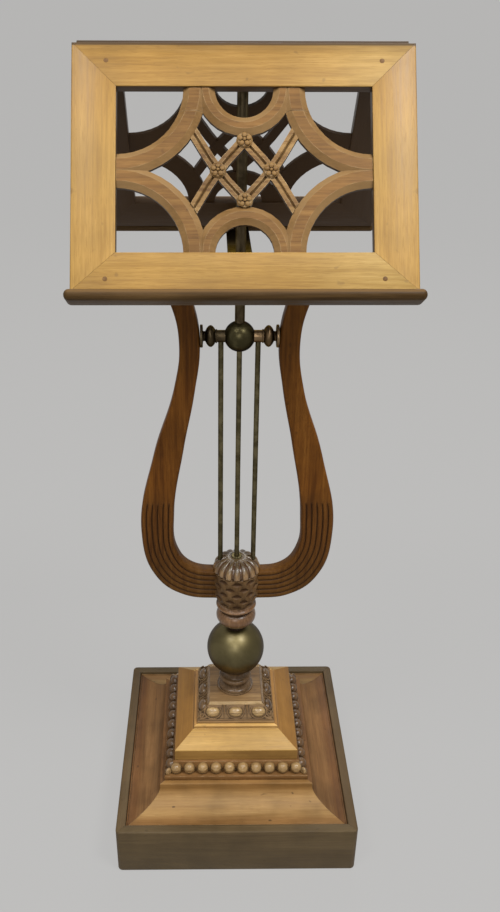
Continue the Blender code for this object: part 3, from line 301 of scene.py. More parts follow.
def oldMetal(name, look):
    paint, tree, shader = startPaint(name)
    point = objectPoint(tree)
    broad = noise(tree, point, look.get("patch", patina["patch"]), 5.0, 0.62, 0.5)
    fine = noise(tree, point, patina["fine"], 3.0, 0.6)
    colour = blended(tree, ranged(tree, broad, *patina["toBright"]), look["dull"], look["bright"])
    specks = times(tree, ranged(tree, fine, *patina["toSpeck"]), patina["specks"])
    colour = blended(tree, specks, colour, look["dull"])
    wear, softNormal = edgeMask(tree, patina["edge"])
    colour = blended(tree, times(tree, wear, patina["wear"]), colour, look["worn"])
    # grime and painted shade in the piece's own grooves and corners
    dirtAndShade = times(tree, dirtAndShadeMask(tree, patina["reach"]), patina["dirtAndShade"])
    colour = blended(tree, dirtAndShade, colour, look["grimeAndShade"])
    low, high = look["rough"]
    bump = addNode(tree, "Bump", {"Strength": patina["bump"], "Distance": patina["bumpHigh"],
                                  "Height": sums(tree, "ADD", fine, broad), "Normal": softNormal})
    setInputs(tree, shader, {
        "Base Color": colour, "Normal": bump.outputs["Normal"], "Metallic": 1.0,
        "Roughness": ranged(tree, broad, *patina["toRough"], high, low),
        "Specular Tint": look.get("edgeTint", patina["edgeTint"]), "Coat Weight": look.get("polish", 0.0),
        "Coat Roughness": patina["coatRough"],
    })
    return paint


# desk tones, with painted shade on the desk backs and along the ridge edge
goldTones = {"deep": (0.305, 0.164, 0.034), "middle": (0.388, 0.22, 0.05), "pale": (0.448, 0.264, 0.071),
             "worn": (0.27, 0.15, 0.05), "grimeAndShade": (0.1, 0.056, 0.024), "pores": 0.6, "broad": 0.25,
             "cloud": 0.1, "innerShadeTone": (0.068, 0.034, 0.011), "ridgeShadeTone": (0.055, 0.032, 0.015)}
splayTones = {"deep": (0.375, 0.208, 0.056), "middle": (0.49, 0.287, 0.078), "pale": (0.59, 0.365, 0.115),
              "worn": (0.5, 0.32, 0.15), "grimeAndShade": (0.09, 0.05, 0.02)}
coveTones = {"deep": (0.27, 0.15, 0.05), "middle": (0.335, 0.195, 0.07), "pale": (0.41, 0.25, 0.098),
             "worn": (0.56, 0.39, 0.2), "grimeAndShade": (0.07, 0.04, 0.018)}
# darker tones for the side coves: painted shade
coveShadedSideTones = {"deep": (0.14, 0.067, 0.024), "middle": (0.2, 0.101, 0.037), "pale": (0.26, 0.138, 0.055),
                 "worn": (0.36, 0.22, 0.1), "grimeAndShade": (0.045, 0.024, 0.011)}
tierTones = {"deep": (0.14, 0.064, 0.019), "middle": (0.215, 0.104, 0.032), "pale": (0.3, 0.16, 0.06),
             "worn": (0.55, 0.4, 0.23), "grimeAndShade": (0.04, 0.022, 0.01)}
darkTones = {"deep": (0.081, 0.053, 0.024), "middle": (0.104, 0.07, 0.032), "pale": (0.127, 0.087, 0.041),
             "worn": (0.22, 0.16, 0.09), "grimeAndShade": (0.035, 0.024, 0.014)}
ledgeTones = {"deep": (0.05, 0.027, 0.009), "middle": (0.084, 0.047, 0.017), "pale": (0.12, 0.071, 0.027),
              "worn": (0.2, 0.13, 0.07), "grimeAndShade": (0.02, 0.012, 0.006)}
# for the arms the edge tone is dark: it darkens their rounded edges
armTones = {"deep": (0.09, 0.03, 0.0045), "middle": (0.165, 0.059, 0.0085), "pale": (0.24, 0.095, 0.016),
            "worn": (0.034, 0.016, 0.007), "grimeAndShade": (0.02, 0.009, 0.004)}
carvedTones = {"deep": (0.11, 0.06, 0.025), "middle": (0.215, 0.125, 0.052), "pale": (0.32, 0.2, 0.088),
               "worn": (0.55, 0.37, 0.2), "grimeAndShade": (0.022, 0.013, 0.007)}
# tracery tones, with painted shade on the backs
traceryTones = {"deep": (0.13, 0.061, 0.015), "middle": (0.198, 0.097, 0.026), "pale": (0.258, 0.137, 0.041),
                "worn": (0.6, 0.45, 0.25), "grimeAndShade": (0.04, 0.022, 0.011), "innerShadeTone": (0.058, 0.029, 0.01)}

deskTopShade = ((1.34, 1.44, (0.87, 0.83, 0.76)),)      # painted shade towards the ridge
deskSheenAndShadeEnds = ((0.03, 0.2, (1.16, 1.3, 1.7)), (-0.04, -0.2, (0.94, 0.93, 0.88)))      # painted sheen towards the +X end, a little painted shade towards the other
railOak = oak("railOak", {
    **goldTones, "fades": deskTopShade, "sheenAndShadeAcross": deskSheenAndShadeEnds, "wear": 0.15, "dirtAndShade": 0.3, "edge": 0.0008,
    "shine": 0.2, "polish": 0.16})
stileOak = oak("stileOak", {
    **goldTones, "fades": deskTopShade, "turn": downDesk, "mirrored": True, "wear": 0.15, "dirtAndShade": 0.3,
    "edge": 0.0008, "shine": 0.2, "polish": 0.16})
# ledge: its upward faces take painted light
ledgeOak = oak("ledgeOak", {
    **ledgeTones, "wear": 0.3, "litTopTone": (0.19, 0.11, 0.045), "rough": (0.36, 0.52), "shine": 0.08})
# tracery: chamfers paler with wear and painted sheen, backs in painted shade
traceryOak = oak("traceryOak", {
    **traceryTones, "chamferWearAndSheenTone": (0.29, 0.18, 0.078), "wear": 0.4, "edge": 0.0016, "arris": (0.998, 0.95),
    "figure": 1.4, "broad": 0.3, "dirtAndShade": 0.9, "reach": 0.008, "shine": 0.14, "polish": 0.06, "crisp": True})
latticeOak = oak("latticeOak", {
    **traceryTones, "middle": (0.26, 0.148, 0.05), "pale": (0.35, 0.215, 0.082), "wear": 0.7, "edge": 0.0012,
    "arris": (0.998, 0.93), "reach": 0.006, "dirtAndShade": 1.0, "shine": 0.2, "crisp": True})
pegOak = oak("pegOak", {
    "deep": (0.11, 0.055, 0.02), "middle": (0.17, 0.088, 0.031), "pale": (0.23, 0.125, 0.045),
    "worn": (0.11, 0.055, 0.02), "grimeAndShade": (0.06, 0.03, 0.012), "turn": upright, "edge": 0.0008, "dirtAndShade": 0.5,
    "reach": 0.003, "shine": 0.15})
armOak = oak("armOak", {
    **armTones, "turn": upright, "wear": 0.75, "edge": 0.0036, "dirtAndShade": 0.9, "reach": 0.006, "shine": 0.1,
    "hollowDirtAndShadeTone": (0.05, 0.022, 0.009), "crisp": True, "fades": (
        (0.92, 1.06, (0.7, 0.72, 0.7)),        # painted shadow under the ledge
        (0.755, 0.7, (0.76, 0.79, 0.92)),      # reeds hold the dirt
        (0.66, 0.52, (0.8, 0.92, 1.1)))})
plinthFrontOak = oak("plinthFrontOak", {**darkTones, "wear": 0.35, "shine": 0.2})
plinthSideOak = oak("plinthSideOak", {
    **darkTones, "middle": (0.109, 0.068, 0.03), "turn": alongSide, "wear": 0.35, "shine": 0.2})
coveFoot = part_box("cove_front")[0].z
coveShade = (
    (coveFoot + 0.03, coveFoot + 0.054, (0.82, 0.74, 0.64)),       # painted shade towards the fillet
    (coveFoot + 0.02, coveFoot + 0.0172, (0.7, 0.61, 0.54)))       # and at the lip
coveFrontOak = oak("coveFrontOak", {
    **coveTones, "fades": coveShade, "wear": 0.4, "spots": 0.75, "cloud": 0.2, "shine": 0.2})
coveShadedSideOak = oak("coveShadedSideOak", {
    **coveShadedSideTones, "fades": coveShade, "turn": alongSide, "wear": 0.4, "spots": 0.6,
    "cloud": 0.22, "shine": 0.2})
# the side lengths of the mitred pieces below are painted in shade
tierOak = oak("tierOak", {
    **tierTones, "mitred": True, "sideShadeTint": (0.6, 0.55, 0.5), "wear": 0.5, "dirtAndShade": 0.95,
    "reach": 0.012, "shine": 0.2})
beadOak = oak("beadOak", {
    **tierTones, "middle": (0.36, 0.222, 0.088), "pale": (0.48, 0.318, 0.142), "mitred": True, "crisp": True,
    "sideShadeTint": (0.34, 0.28, 0.24), "hollowDirtAndShadeTone": (0.075, 0.04, 0.016), "dirtAndShade": 0.8, "reach": 0.01,
    "rough": (0.22, 0.32), "shine": 0.3, "polish": 0.35})
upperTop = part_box("upper_plinth")[1].z
# upper plinth: painted shade on its side lengths and standing faces
upperOak = oak("upperOak", {
    **splayTones, "mitred": True, "sideShadeTint": (0.57, 0.465, 0.37), "uprightDirtAndShadeTint": (0.62, 0.56, 0.49),
    "fades": ((upperTop - 0.0074, upperTop - 0.0066, (1.4, 1.45, 1.7)),),      # fillet band made paler
    "wear": 0.4, "polish": 0.08, "shine": 0.25})
carvedOak = oak("carvedOak", {
    **carvedTones, "wear": 0.6, "edge": 0.0012, "dirtAndShade": 1.0, "reach": 0.007, "shine": 0.2, "crisp": True})
stripOak = oak("stripOak", {
    **tierTones, "deep": (0.19, 0.102, 0.038), "middle": (0.29, 0.168, 0.066), "pale": (0.39, 0.24, 0.105),
    "mitred": True, "sideShadeTint": (0.6, 0.5, 0.42), "wear": 0.6, "dirtAndShade": 0.9, "reach": 0.004, "shine": 0.2})
eggOak = oak("eggOak", {
    **carvedTones, "middle": (0.44, 0.285, 0.12), "pale": (0.6, 0.42, 0.2), "mitred": True, "crisp": True,
    "sideShadeTint": (0.36, 0.31, 0.28), "hollowDirtAndShadeTone": (0.08, 0.045, 0.019), "dirtAndShade": 0.7, "reach": 0.006,
    "rough": (0.22, 0.32), "shine": 0.3, "polish": 0.4})
stemLook = {**carvedTones, "turn": upright, "wear": 0.5, "edge": 0.001, "crisp": True}
cupOak = oak("cupOak", {
    **stemLook, "deep": (0.08, 0.041, 0.016), "middle": (0.138, 0.076, 0.03), "pale": (0.2, 0.117, 0.05),
    "hollowDirtAndShadeTone": (0.06, 0.026, 0.01), "dirtAndShade": 0.8, "reach": 0.004, "rough": (0.4, 0.55), "shine": 0.12})
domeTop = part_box("gadroon_dome")[1].z
domeOak = oak("domeOak", {
    **stemLook, "deep": (0.16, 0.09, 0.037), "middle": (0.29, 0.168, 0.069), "pale": (0.41, 0.254, 0.11),
    "hollowDirtAndShadeTone": (0.085, 0.038, 0.012), "wear": 0.2, "dirtAndShade": 0.9, "reach": 0.006, "rough": (0.28, 0.38),
    "shine": 0.5, "polish": 0.5,
    "fades": ((domeTop - 0.021, domeTop - 0.006, (0.36, 0.38, 0.33)),)})      # dust round the rods
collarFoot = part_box("collar")[0].z
collarOak = oak("collarOak", {
    **stemLook, "deep": (0.1, 0.047, 0.019), "middle": (0.17, 0.088, 0.039), "pale": (0.24, 0.134, 0.064),
    "hollowDirtAndShadeTone": (0.022, 0.009, 0.004), "dirtAndShade": 0.9, "reach": 0.006, "rough": (0.2, 0.3), "shine": 0.2,
    "polish": 0.4,
    "fades": ((collarFoot + 0.0525, collarFoot + 0.0538, (1.35, 1.38, 1.4)),)})      # painted highlight and wear along the astragal
footOak = oak("footOak", {
    **stemLook, "deep": (0.08, 0.043, 0.018), "middle": (0.14, 0.08, 0.035), "pale": (0.2, 0.12, 0.056),
    "dirtAndShade": 1.0, "reach": 0.012, "rough": (0.22, 0.34), "shine": 0.15, "polish": 0.3})
hiddenOak = oak("hiddenOak", {**ledgeTones, "turn": upright})
ballBrass = oldMetal("ballBrass", {
    "dull": (0.1, 0.077, 0.024), "bright": (0.15, 0.119, 0.045), "worn": (0.4, 0.32, 0.16),
    "grimeAndShade": (0.03, 0.022, 0.01), "rough": (0.37, 0.47), "patch": 17.0, "polish": 0.55,
    "edgeTint": (0.2, 0.16, 0.08)})
# darker brass for the crossbar ball: painted shadow of the desks
shadedKnobBrass = oldMetal("shadedKnobBrass", {
    "dull": (0.048, 0.04, 0.016), "bright": (0.09, 0.075, 0.034), "worn": (0.26, 0.21, 0.1),
    "grimeAndShade": (0.02, 0.015, 0.008), "rough": (0.32, 0.46), "patch": 50.0, "polish": 0.1,
    "edgeTint": (0.25, 0.2, 0.1)})
stringBrass = oldMetal("stringBrass", {
    "dull": (0.085, 0.07, 0.034), "bright": (0.19, 0.158, 0.085), "worn": (0.3, 0.24, 0.13),
    "grimeAndShade": (0.02, 0.015, 0.008), "rough": (0.34, 0.5)})
fittingBrass = oldMetal("fittingBrass", {
    "dull": (0.16, 0.12, 0.045), "bright": (0.36, 0.27, 0.11), "worn": (0.6, 0.46, 0.22),
    "grimeAndShade": (0.03, 0.022, 0.01), "rough": (0.28, 0.46)})
darkBronze = oldMetal("darkBronze", {
    "dull": (0.065, 0.047, 0.025), "bright": (0.14, 0.106, 0.06), "worn": (0.3, 0.22, 0.12),
    "grimeAndShade": (0.015, 0.012, 0.008), "rough": (0.34, 0.5)})
copperBronze = oldMetal("copperBronze", {
    "dull": (0.13, 0.085, 0.042), "bright": (0.28, 0.185, 0.1), "worn": (0.5, 0.35, 0.2),
    "grimeAndShade": (0.02, 0.012, 0.008), "rough": (0.3, 0.48)})
greyIron = oldMetal("greyIron", {
    "dull": (0.06, 0.055, 0.05), "bright": (0.13, 0.125, 0.12), "worn": (0.25, 0.24, 0.22),
    "grimeAndShade": (0.02, 0.018, 0.016), "rough": (0.45, 0.65), "edgeTint": (0.6, 0.6, 0.6)})
print("finishes mixed")

# CAD nodes that keep their shape
nodeFinish = {
    "base_deck": hiddenOak, "ridge_block": hiddenOak, "stem_tube": greyIron, "stem_nut": greyIron,
    "string_left": stringBrass, "string_right": stringBrass, "centre_rod": stringBrass,
    "pole_tube": darkBronze, "spreader_bar": darkBronze, "spreader_boss": darkBronze,
    "head_flange": fittingBrass,
}
for name in ("front", "rear"):
    nodeFinish.update({f"{name}_{band}": traceryOak for band in ("tracery", "tracery_crown")})
    nodeFinish[f"{name}_lattice"] = latticeOak
    for side in ("left", "right"):
        nodeFinish.update({f"{name}_hinge_{side}_{leaf}": fittingBrass for leaf in ("fixed", "moving")})
for nodeName, paint in nodeFinish.items():
    nodes[nodeName].data.materials.clear()
    nodes[nodeName].data.materials.append(paint)
print("kept nodes painted:", len(nodeFinish))


# mesh tools
def addPiece(name, bm, body, paint, hides=(), crease=38):
    bmesh.ops.recalc_face_normals(bm, faces=bm.faces)
    mesh = bpy.data.meshes.new(name)
    bm.to_mesh(mesh)
    bm.free()
    mesh.materials.append(paint)
    mesh.shade_smooth()
    mesh.set_sharp_from_angle(angle=radians(crease))
    piece = bpy.data.objects.new(name, mesh)
    scene.collection.objects.link(piece)
    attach(piece, body)
    if hides:
        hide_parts(*hides)


def limited(value):
    return min(1, max(0, value))


def bend(middle, radius, start, end, count):
    # points of a round stretch of a profile, angles in degrees
    angles = [radians(start + (end - start) * i / count) for i in range(count + 1)]
    return [(middle[0] + radius * cos(a), middle[1] + radius * sin(a)) for a in angles]


def lathe(profile, steps=72, ring=False):
    # (radius, height) points spun about Z
    bm = bmesh.new()
    line = [bm.verts.new((r, 0, z)) for r, z in profile]
    edges = [bm.edges.new(pair) for pair in zip(line, line[1:])]
    if ring:
        edges.append(bm.edges.new((line[-1], line[0])))
    bmesh.ops.spin(bm, geom=line + edges, cent=(0, 0, 0), axis=(0, 0, 1), angle=2 * pi,
                   steps=steps, use_merge=True)
    bmesh.ops.remove_doubles(bm, verts=bm.verts, dist=1e-6)
    bmesh.ops.recalc_face_normals(bm, faces=bm.faces)
    return bm


def squareTier(profile, ring=False):
    # (half width, height) points made into a square tier
    bm = lathe([(half * sqrt(2), z) for half, z in profile], 4, ring)
    bmesh.ops.rotate(bm, cent=(0, 0, 0), matrix=Matrix.Rotation(pi / 4, 3, "Z"), verts=bm.verts)
    return bm


def bevelEdges(bm, edges, width, segments=2):
    bmesh.ops.bevel(bm, geom=edges, offset=width, offset_type="OFFSET", affect="EDGES", segments=segments,
                    profile=0.5, material=-1, clamp_overlap=True)


def softenEdges(bm, width, segments=2, angle=25, shortest=0.0):
    edges = [e for e in bm.edges if e.is_manifold and e.calc_face_angle() > radians(angle)]
    bevelEdges(bm, [e for e in edges if e.calc_length() > shortest], width, segments)


def pushed(bm, faces):
    # extrudes faces and gives the new points
    made = bmesh.ops.extrude_face_region(bm, geom=faces)
    return [v for v in made["geom"] if isinstance(v, bmesh.types.BMVert)]


def boss(bm, place, around=16, up=10, radius=1.0):
    return bmesh.ops.create_uvsphere(bm, u_segments=around, v_segments=up, radius=radius, matrix=place)


def stick(bm, start, end, startRadius, endRadius):
    # tapered round rod between two points
    turn = Vector((0, 0, 1)).rotation_difference(end - start).to_matrix().to_4x4()
    bmesh.ops.create_cone(bm, cap_ends=True, segments=12, radius1=startRadius, radius2=endRadius,
                          depth=(end - start).length, matrix=Matrix.Translation((start + end) / 2) @ turn)


def drawIn(vert, amount):
    # moves a point towards the turning axis
    radius = Vector(vert.co[:2]).length
    vert.co.x *= (radius - amount) / radius
    vert.co.y *= (radius - amount) / radius


def nodeCopy(nodeName):
    bm = bmesh.new()
    bm.from_mesh(nodes[nodeName].data)
    bmesh.ops.remove_doubles(bm, verts=bm.verts, dist=1e-5)
    bmesh.ops.dissolve_limit(bm, angle_limit=radians(1), verts=bm.verts, edges=bm.edges)
    return bm


def mitredLength(profile, gap):
    # front length of a square moulding, each point running from mitre to mitre
    bm = bmesh.new()
    face = bm.faces.new([bm.verts.new((-(half - gap), -half, z)) for half, z in profile])
    bmesh.ops.scale(bm, vec=(-1, 1, 1), verts=pushed(bm, [face]))
    bmesh.ops.recalc_face_normals(bm, faces=bm.faces)
    return bm


def takeIn(bm, other):
    # moves one bmesh's shape into another
    mesh = bpy.data.meshes.new("loose")
    other.to_mesh(mesh)
    other.free()
    bm.from_mesh(mesh)
    bpy.data.meshes.remove(mesh)


def turned(bm, matrix):
    bmesh.ops.transform(bm, matrix=matrix, verts=bm.verts)
    return bm


# plinth boards: one worn square ring, parted at the mitres; each wear is a width and its steps
plinth = {"cornerWear": (0.009, 5), "bottomWear": (0.008, 4), "topEase": (0.0025, 3),
          "innerEase": (0.0012, 2), "mitre": 0.00003}
sideNames = ("front", "right", "back", "left")      # by quarter turns


def plinthRing(look):
    low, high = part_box("plinth_front")
    outer, inner = -low.y, -high.y
    between = (outer + inner) / 2
    halfTall = (high.z - low.z) / 2
    bm = squareTier([(outer, low.z), (outer, high.z), (inner, high.z), (inner, low.z)], ring=True)

    def edgesAt(level, outside):
        found = []
        for edge in bm.edges:
            flat = all(abs(v.co.z - level) < 1e-5 for v in edge.verts)
            wide = [max(abs(v.co.x), abs(v.co.y)) > between for v in edge.verts]
            if flat and all(w == outside for w in wide) and edge.calc_face_angle() > 1:
                found.append(edge)
        return found

    upEdges = [e for e in bm.edges if abs(e.verts[0].co.z - e.verts[1].co.z) > halfTall]
    bevelEdges(bm, [e for e in upEdges if abs(e.verts[0].co.x) > between], *look["cornerWear"])
    bevelEdges(bm, edgesAt(low.z, True), *look["bottomWear"])
    bevelEdges(bm, edgesAt(high.z, True), *look["topEase"])
    bevelEdges(bm, edgesAt(high.z, False), *look["innerEase"])
    return bm


def partAtMitres(ring, quarter, gap):
    board = ring.copy()
    for corner in ((1, 1, 0), (-1, 1, 0)):
        across = (quarter @ Vector(corner)).normalized()
        bmesh.ops.bisect_plane(board, geom=board.verts[:] + board.edges[:] + board.faces[:],
                               plane_co=across * -gap, plane_no=across, clear_outer=True)
    bmesh.ops.holes_fill(board, edges=[e for e in board.edges if e.is_boundary], sides=0)
    return board


ring = plinthRing(plinth)
for index, side in enumerate(sideNames):
    board = partAtMitres(ring, Matrix.Rotation(index * pi / 2, 3, "Z"), plinth["mitre"])
    paint = plinthFrontOak if side in ("front", "back") else plinthSideOak
    addPiece(f"plinthBoard.{side}", board, "stand", paint, [f"plinth_{side}"])
ring.free()
print("plinth boards parted")

# cove: a quirk beside the rim, the hollow, a fillet with an eased edge
cove = {"quirkWidth": 0.004, "lip": 0.017, "rise": 0.037, "sweep": 86, "filletHalf": 0.152, "seatHalf": 0.12,
        "ease": 0.0012, "steps": 30, "gap": 0.0002, "crease": 30}


def coveProfile(look):
    low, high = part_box("cove_front")
    edge = -low.y
    start = edge - look["quirkWidth"]
    lip = low.z + look["lip"]
    fillet, ease = look["filletHalf"], look["ease"]
    run = start - fillet
    angles = [radians(look["sweep"] * i / look["steps"]) for i in range(look["steps"] + 1)]
    hollow = [(start - run * sin(a), lip + look["rise"] * (1 - cos(a))) for a in angles]
    top = [(fillet, lip + look["rise"] + 0.0004), (fillet, high.z - ease)]
    top += bend((fillet - ease, high.z - ease), ease, 20, 90, 3)
    quirk = [(edge, low.z), (edge, lip - 0.0015), (edge - 0.0008, lip), (start + ease, lip),
             (start + 0.0004, lip - ease)]
    return [*quirk, *hollow, *top, (look["seatHalf"], high.z), (look["seatHalf"], low.z)]


for index, side in enumerate(sideNames):
    length = turned(mitredLength(coveProfile(cove), cove["gap"]), Matrix.Rotation(index * pi / 2, 4, "Z"))
    paint = coveFrontOak if side in ("front", "back") else coveShadedSideOak
    addPiece(f"coveLength.{side}", length, "stand", paint, [f"cove_{side}"], cove["crease"])
print("coves run")

# beaded tier: a stepped square, full round beads on it and a leaf bud at each corner
beads = {"half": 0.143, "step": 0.011, "neckHalf": 0.1262, "lineHalf": 0.1292, "rowHalf": 0.133,
         "radius": 0.0118, "count": 10, "sink": 0.0022, "tilt": 52, "shadeBelow": 0.68, "ease": 0.0012,
         "budSize": (0.0072, 0.0036, 0.0082), "budHalf": 0.1348, "leafTurns": (13, 45, 77)}
# how dark the painted shade round a boss's seat gets, and how far it goes
seatShading = {"most": 0.9, "spread": 0.6}


def steppedTier(look):
    low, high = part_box("bead_tier")
    step = low.z + look["step"]
    tier = squareTier([(0, high.z), (look["neckHalf"], high.z), (look["neckHalf"], step),
                       (look["half"], step), (look["half"], low.z), (0, low.z)])
    softenEdges(tier, look["ease"], 2, 40)
    return tier


def seatShade(made, place, layer, shadeBelow):
    # a boss takes no painted shade where it looks along its own Z, and painted shade round its seat
    back = place.inverted()
    for vert in made["verts"]:
        share = (back @ vert.co).normalized().z
        vert[layer] = seatShading["most"] * limited((shadeBelow - share) / seatShading["spread"])


def beadRows(look):
    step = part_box("bead_tier")[0].z + look["step"]
    level = step + look["radius"] - look["sink"]
    bm = bmesh.new()
    carved = bm.verts.layers.float.new("carved")
    for side in range(4):
        quarter = Matrix.Rotation(side * pi / 2, 4, "Z")
        for i in range(look["count"]):
            along = look["rowHalf"] * (2 * (i + 0.5) / look["count"] - 1)
            place = quarter @ Matrix.Translation((along, -look["lineHalf"], level))
            place = place @ Matrix.Rotation(radians(look["tilt"]), 4, "X")
            # each bead painted in shade round its seat
            seatShade(boss(bm, place, 22, 14, look["radius"]), place, carved, look["shadeBelow"])
        bud = Matrix.Translation((-look["budHalf"], -look["budHalf"],
                                  step + look["budSize"][2] - look["sink"]))
        for turn in look["leafTurns"]:   # three leaves of the bud
            leaf = quarter @ bud @ Matrix.Rotation(radians(turn), 4, "Z")
            boss(bm, leaf @ Matrix.Diagonal((*look["budSize"], 1)))
    return bm


addPiece("steppedTier", steppedTier(beads), "stand", tierOak, ["bead_tier"])
addPiece("beadRows", beadRows(beads), "stand", beadOak)

# upper plinth: fascia, splay and fillet with eased edges
upper = {"ease": 0.0012, "angle": 20, "shortest": 0.03, "crease": 22}
tier = nodeCopy("upper_plinth")
softenEdges(tier, upper["ease"], 2, upper["angle"], upper["shortest"])
addPiece("upperPlinth", tier, "stand", upperOak, ["upper_plinth"], upper["crease"])
print("tiers stacked")

# carved block: eggs in open shells, darts between them, leaves at the corners
# a dart or reed has the radius at its tip and at its head, and both ends down and up the slope
block = {"half": 0.0775, "topHalf": 0.052, "strip": 0.007, "tuck": 0.001, "ease": 0.0008, "eggs": 3,
         "spacing": 0.046, "egg": (0.0138, 0.0102, 0.0074), "eggDown": 0.0012, "shadeBelow": 0.4,
         "shell": (0.0168, 0.0132), "shellTube": 0.0015, "shellDown": 0.0016, "shellOut": 0.0004,
         "opening": 84, "dart": (0.0005, 0.0027), "dartEnds": (-0.0135, 0.0125), "reed": (0.0006, 0.0013),
         "reedEnds": (-0.004, 0.014), "reedAside": 0.0046, "leaf": (0.0026, 0.0086, 0.0022),
         "leafSpot": (0.0665, -0.0105), "leafLean": 34, "leafFan": (-30, 0, 30), "leafStem": 0.008,
         "line": 0.0014, "lineUp": 0.003, "lineShort": 0.0045, "topReeds": (0.0013, 0.0034, 0.0055),
         "topSlant": 0.4}


def blockFaces(look):
    # places and lengths of the four slopes
    low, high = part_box("carved_block")
    start = Vector((0, -look["half"], low.z + look["strip"]))
    end = Vector((0, -look["topHalf"], high.z))
    lean = Matrix.Rotation((end - start).angle((0, 1, 0)), 4, "X")
    middle = Matrix.Translation((start + end) / 2) @ lean
    return [Matrix.Rotation(side * pi / 2, 4, "Z") @ middle for side in range(4)], (end - start).length


def eggSpots(look):
    return [(i - (look["eggs"] - 1) / 2) * look["spacing"] for i in range(look["eggs"])]


def slopeStick(bm, face, across, ends, radii):
    # a rod that runs up the slope
    stick(bm, *[face @ Vector((across, up, 0)) for up in ends], *radii)


def levelStick(bm, face, half, up, radius):
    # a rod that runs along the slope
    stick(bm, *[face @ Vector((x * half, up, 0)) for x in (-1, 1)], radius, radius)


def openShell(look):
    # a thin half-round frame round an egg, open at the top
    bm = bmesh.new()
    standing = Matrix.Translation((1, 0, 0)) @ Matrix.Rotation(pi / 2, 4, "X")
    tube = look["shellTube"] / look["shell"][0]
    bmesh.ops.create_circle(bm, segments=10, radius=tube, cap_ends=True, matrix=standing)
    start = Matrix.Rotation(radians(90 - look["opening"] / 2), 3, "Z")
    bmesh.ops.rotate(bm, cent=(0, 0, 0), matrix=start, verts=bm.verts)
    bmesh.ops.spin(bm, geom=bm.verts[:] + bm.edges[:] + bm.faces[:], cent=(0, 0, 0), axis=(0, 0, 1),
                   angle=radians(look["opening"] - 360), steps=34)
    bmesh.ops.remove_doubles(bm, verts=bm.verts, dist=1e-5)
    return turned(bm, Matrix.Diagonal((*look["shell"], look["shell"][0], 1)))


def carvedBlock(look):
    low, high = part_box("carved_block")
    strip = low.z + look["strip"]
    under = look["half"] - look["tuck"]
    body = squareTier([(0, high.z), (look["topHalf"], high.z), (under, strip), (under, low.z), (0, low.z)])
    softenEdges(body, look["ease"], 2, 20)
    faces, rise = blockFaces(look)
    for face in faces:
        for across in eggSpots(look):
            place = face @ Matrix.Translation((across, -look["shellDown"], look["shellOut"]))
            takeIn(body, turned(openShell(look), place))
        for x in (-1, 1):
            between = x * look["spacing"] / 2
            slopeStick(body, face, between, look["dartEnds"], look["dart"])
            for aside in (-look["reedAside"], look["reedAside"]):
                slopeStick(body, face, between + aside, look["reedEnds"], look["reed"])
            out, up = look["leafSpot"]
            lean = Matrix.Rotation(radians(look["leafLean"] * x), 4, "Z")
            corner = face @ Matrix.Translation((x * out, up, 0)) @ lean
            for fan in look["leafFan"]:
                leaf = (corner @ Matrix.Translation((0, -look["leafStem"], 0))
                        @ Matrix.Rotation(radians(fan), 4, "Z"))
                leaf = (leaf @ Matrix.Translation((0, look["leafStem"], 0))
                        @ Matrix.Diagonal((*look["leaf"], 1)))
                boss(body, leaf, 14, 10)
        levelStick(body, face, look["half"] - look["lineShort"], look["lineUp"] - rise / 2, look["line"])
    return body


def blockStrip(look):
    # plain strip under the slopes, hollowed a little towards them
    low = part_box("carved_block")[0].z
    strip = low + look["strip"]
    edge = look["half"]
    side = [(0, strip + 0.0004), (edge - 0.003, strip + 0.0004), (edge - 0.0014, strip),
            (edge - 0.0009, strip - 0.001)]
    side += [(edge - 0.0009, strip - 0.0022), (edge, strip - 0.003), (edge, low + 0.0004), (0, low)]
    bm = squareTier(side)
    softenEdges(bm, 0.0004, 2, 40)
    return bm


def eggBosses(look):
    bm = bmesh.new()
    carved = bm.verts.layers.float.new("carved")
    faces, rise = blockFaces(look)
    for face in faces:
        for down in look["topReeds"]:             # rubbed reeds along the top
            levelStick(bm, face, look["topHalf"] + look["topSlant"] * down, rise / 2 - down, look["line"])
        for across in eggSpots(look):
            place = (face @ Matrix.Translation((across, -look["eggDown"], 0))
                     @ Matrix.Diagonal((*look["egg"], 1)))
            # each egg painted in shade round its seat
            seatShade(boss(bm, place, 28, 16), place, carved, look["shadeBelow"])
    return bm


addPiece("carvedBlock", carvedBlock(block), "stand", carvedOak, ["carved_block"])
addPiece("eggBosses", eggBosses(block), "stand", eggOak)
addPiece("blockStrip", blockStrip(block), "stand", stripOak)
print("block carved")

# turned stem: the neck and the groove of the collar take dirt and painted shade
stem = {"bore": 0.0083, "steps": 96, "footTall": 0.047, "collarTall": 0.066, "neckTop": 0.0165,
        "neckFade": 0.004, "groove": 0.0496, "grooveFade": 0.0026, "grooveWide": 1.5, "grooveShade": 0.85}


def turnedOn(side, tall, level, look):
    # a bored turning whose side is given from its foot up
    profile = [(look["bore"], 0), *side, (look["bore"], tall)]
    return lathe([(r, level + z) for r, z in profile], look["steps"], ring=True)


def turnedFoot(look):
    side = [(0.037, 0), (0.037, 0.002), (0.0364, 0.0028), (0.0346, 0.003), (0.0342, 0.0021), (0.0332, 0.0021),
            (0.0328, 0.0032), (0.0312, 0.0036), (0.0282, 0.005), (0.0258, 0.0082), (0.0246, 0.012),
            (0.0243, 0.016), (0.0251, 0.0192), (0.0268, 0.0208)]
    side += bend((0.0278, 0.0258), 0.0047, -76, 76, 12)
    side += [(0.0264, 0.0308), (0.0248, 0.0322), (0.0232, 0.0348), (0.0225, 0.0378), (0.0226, 0.0405),
             (0.0236, 0.0425), (0.0241, 0.0448), (0.0238, 0.0462), (0.0232, look["footTall"])]
    return turnedOn(side, look["footTall"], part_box("stem_foot")[0].z, look)


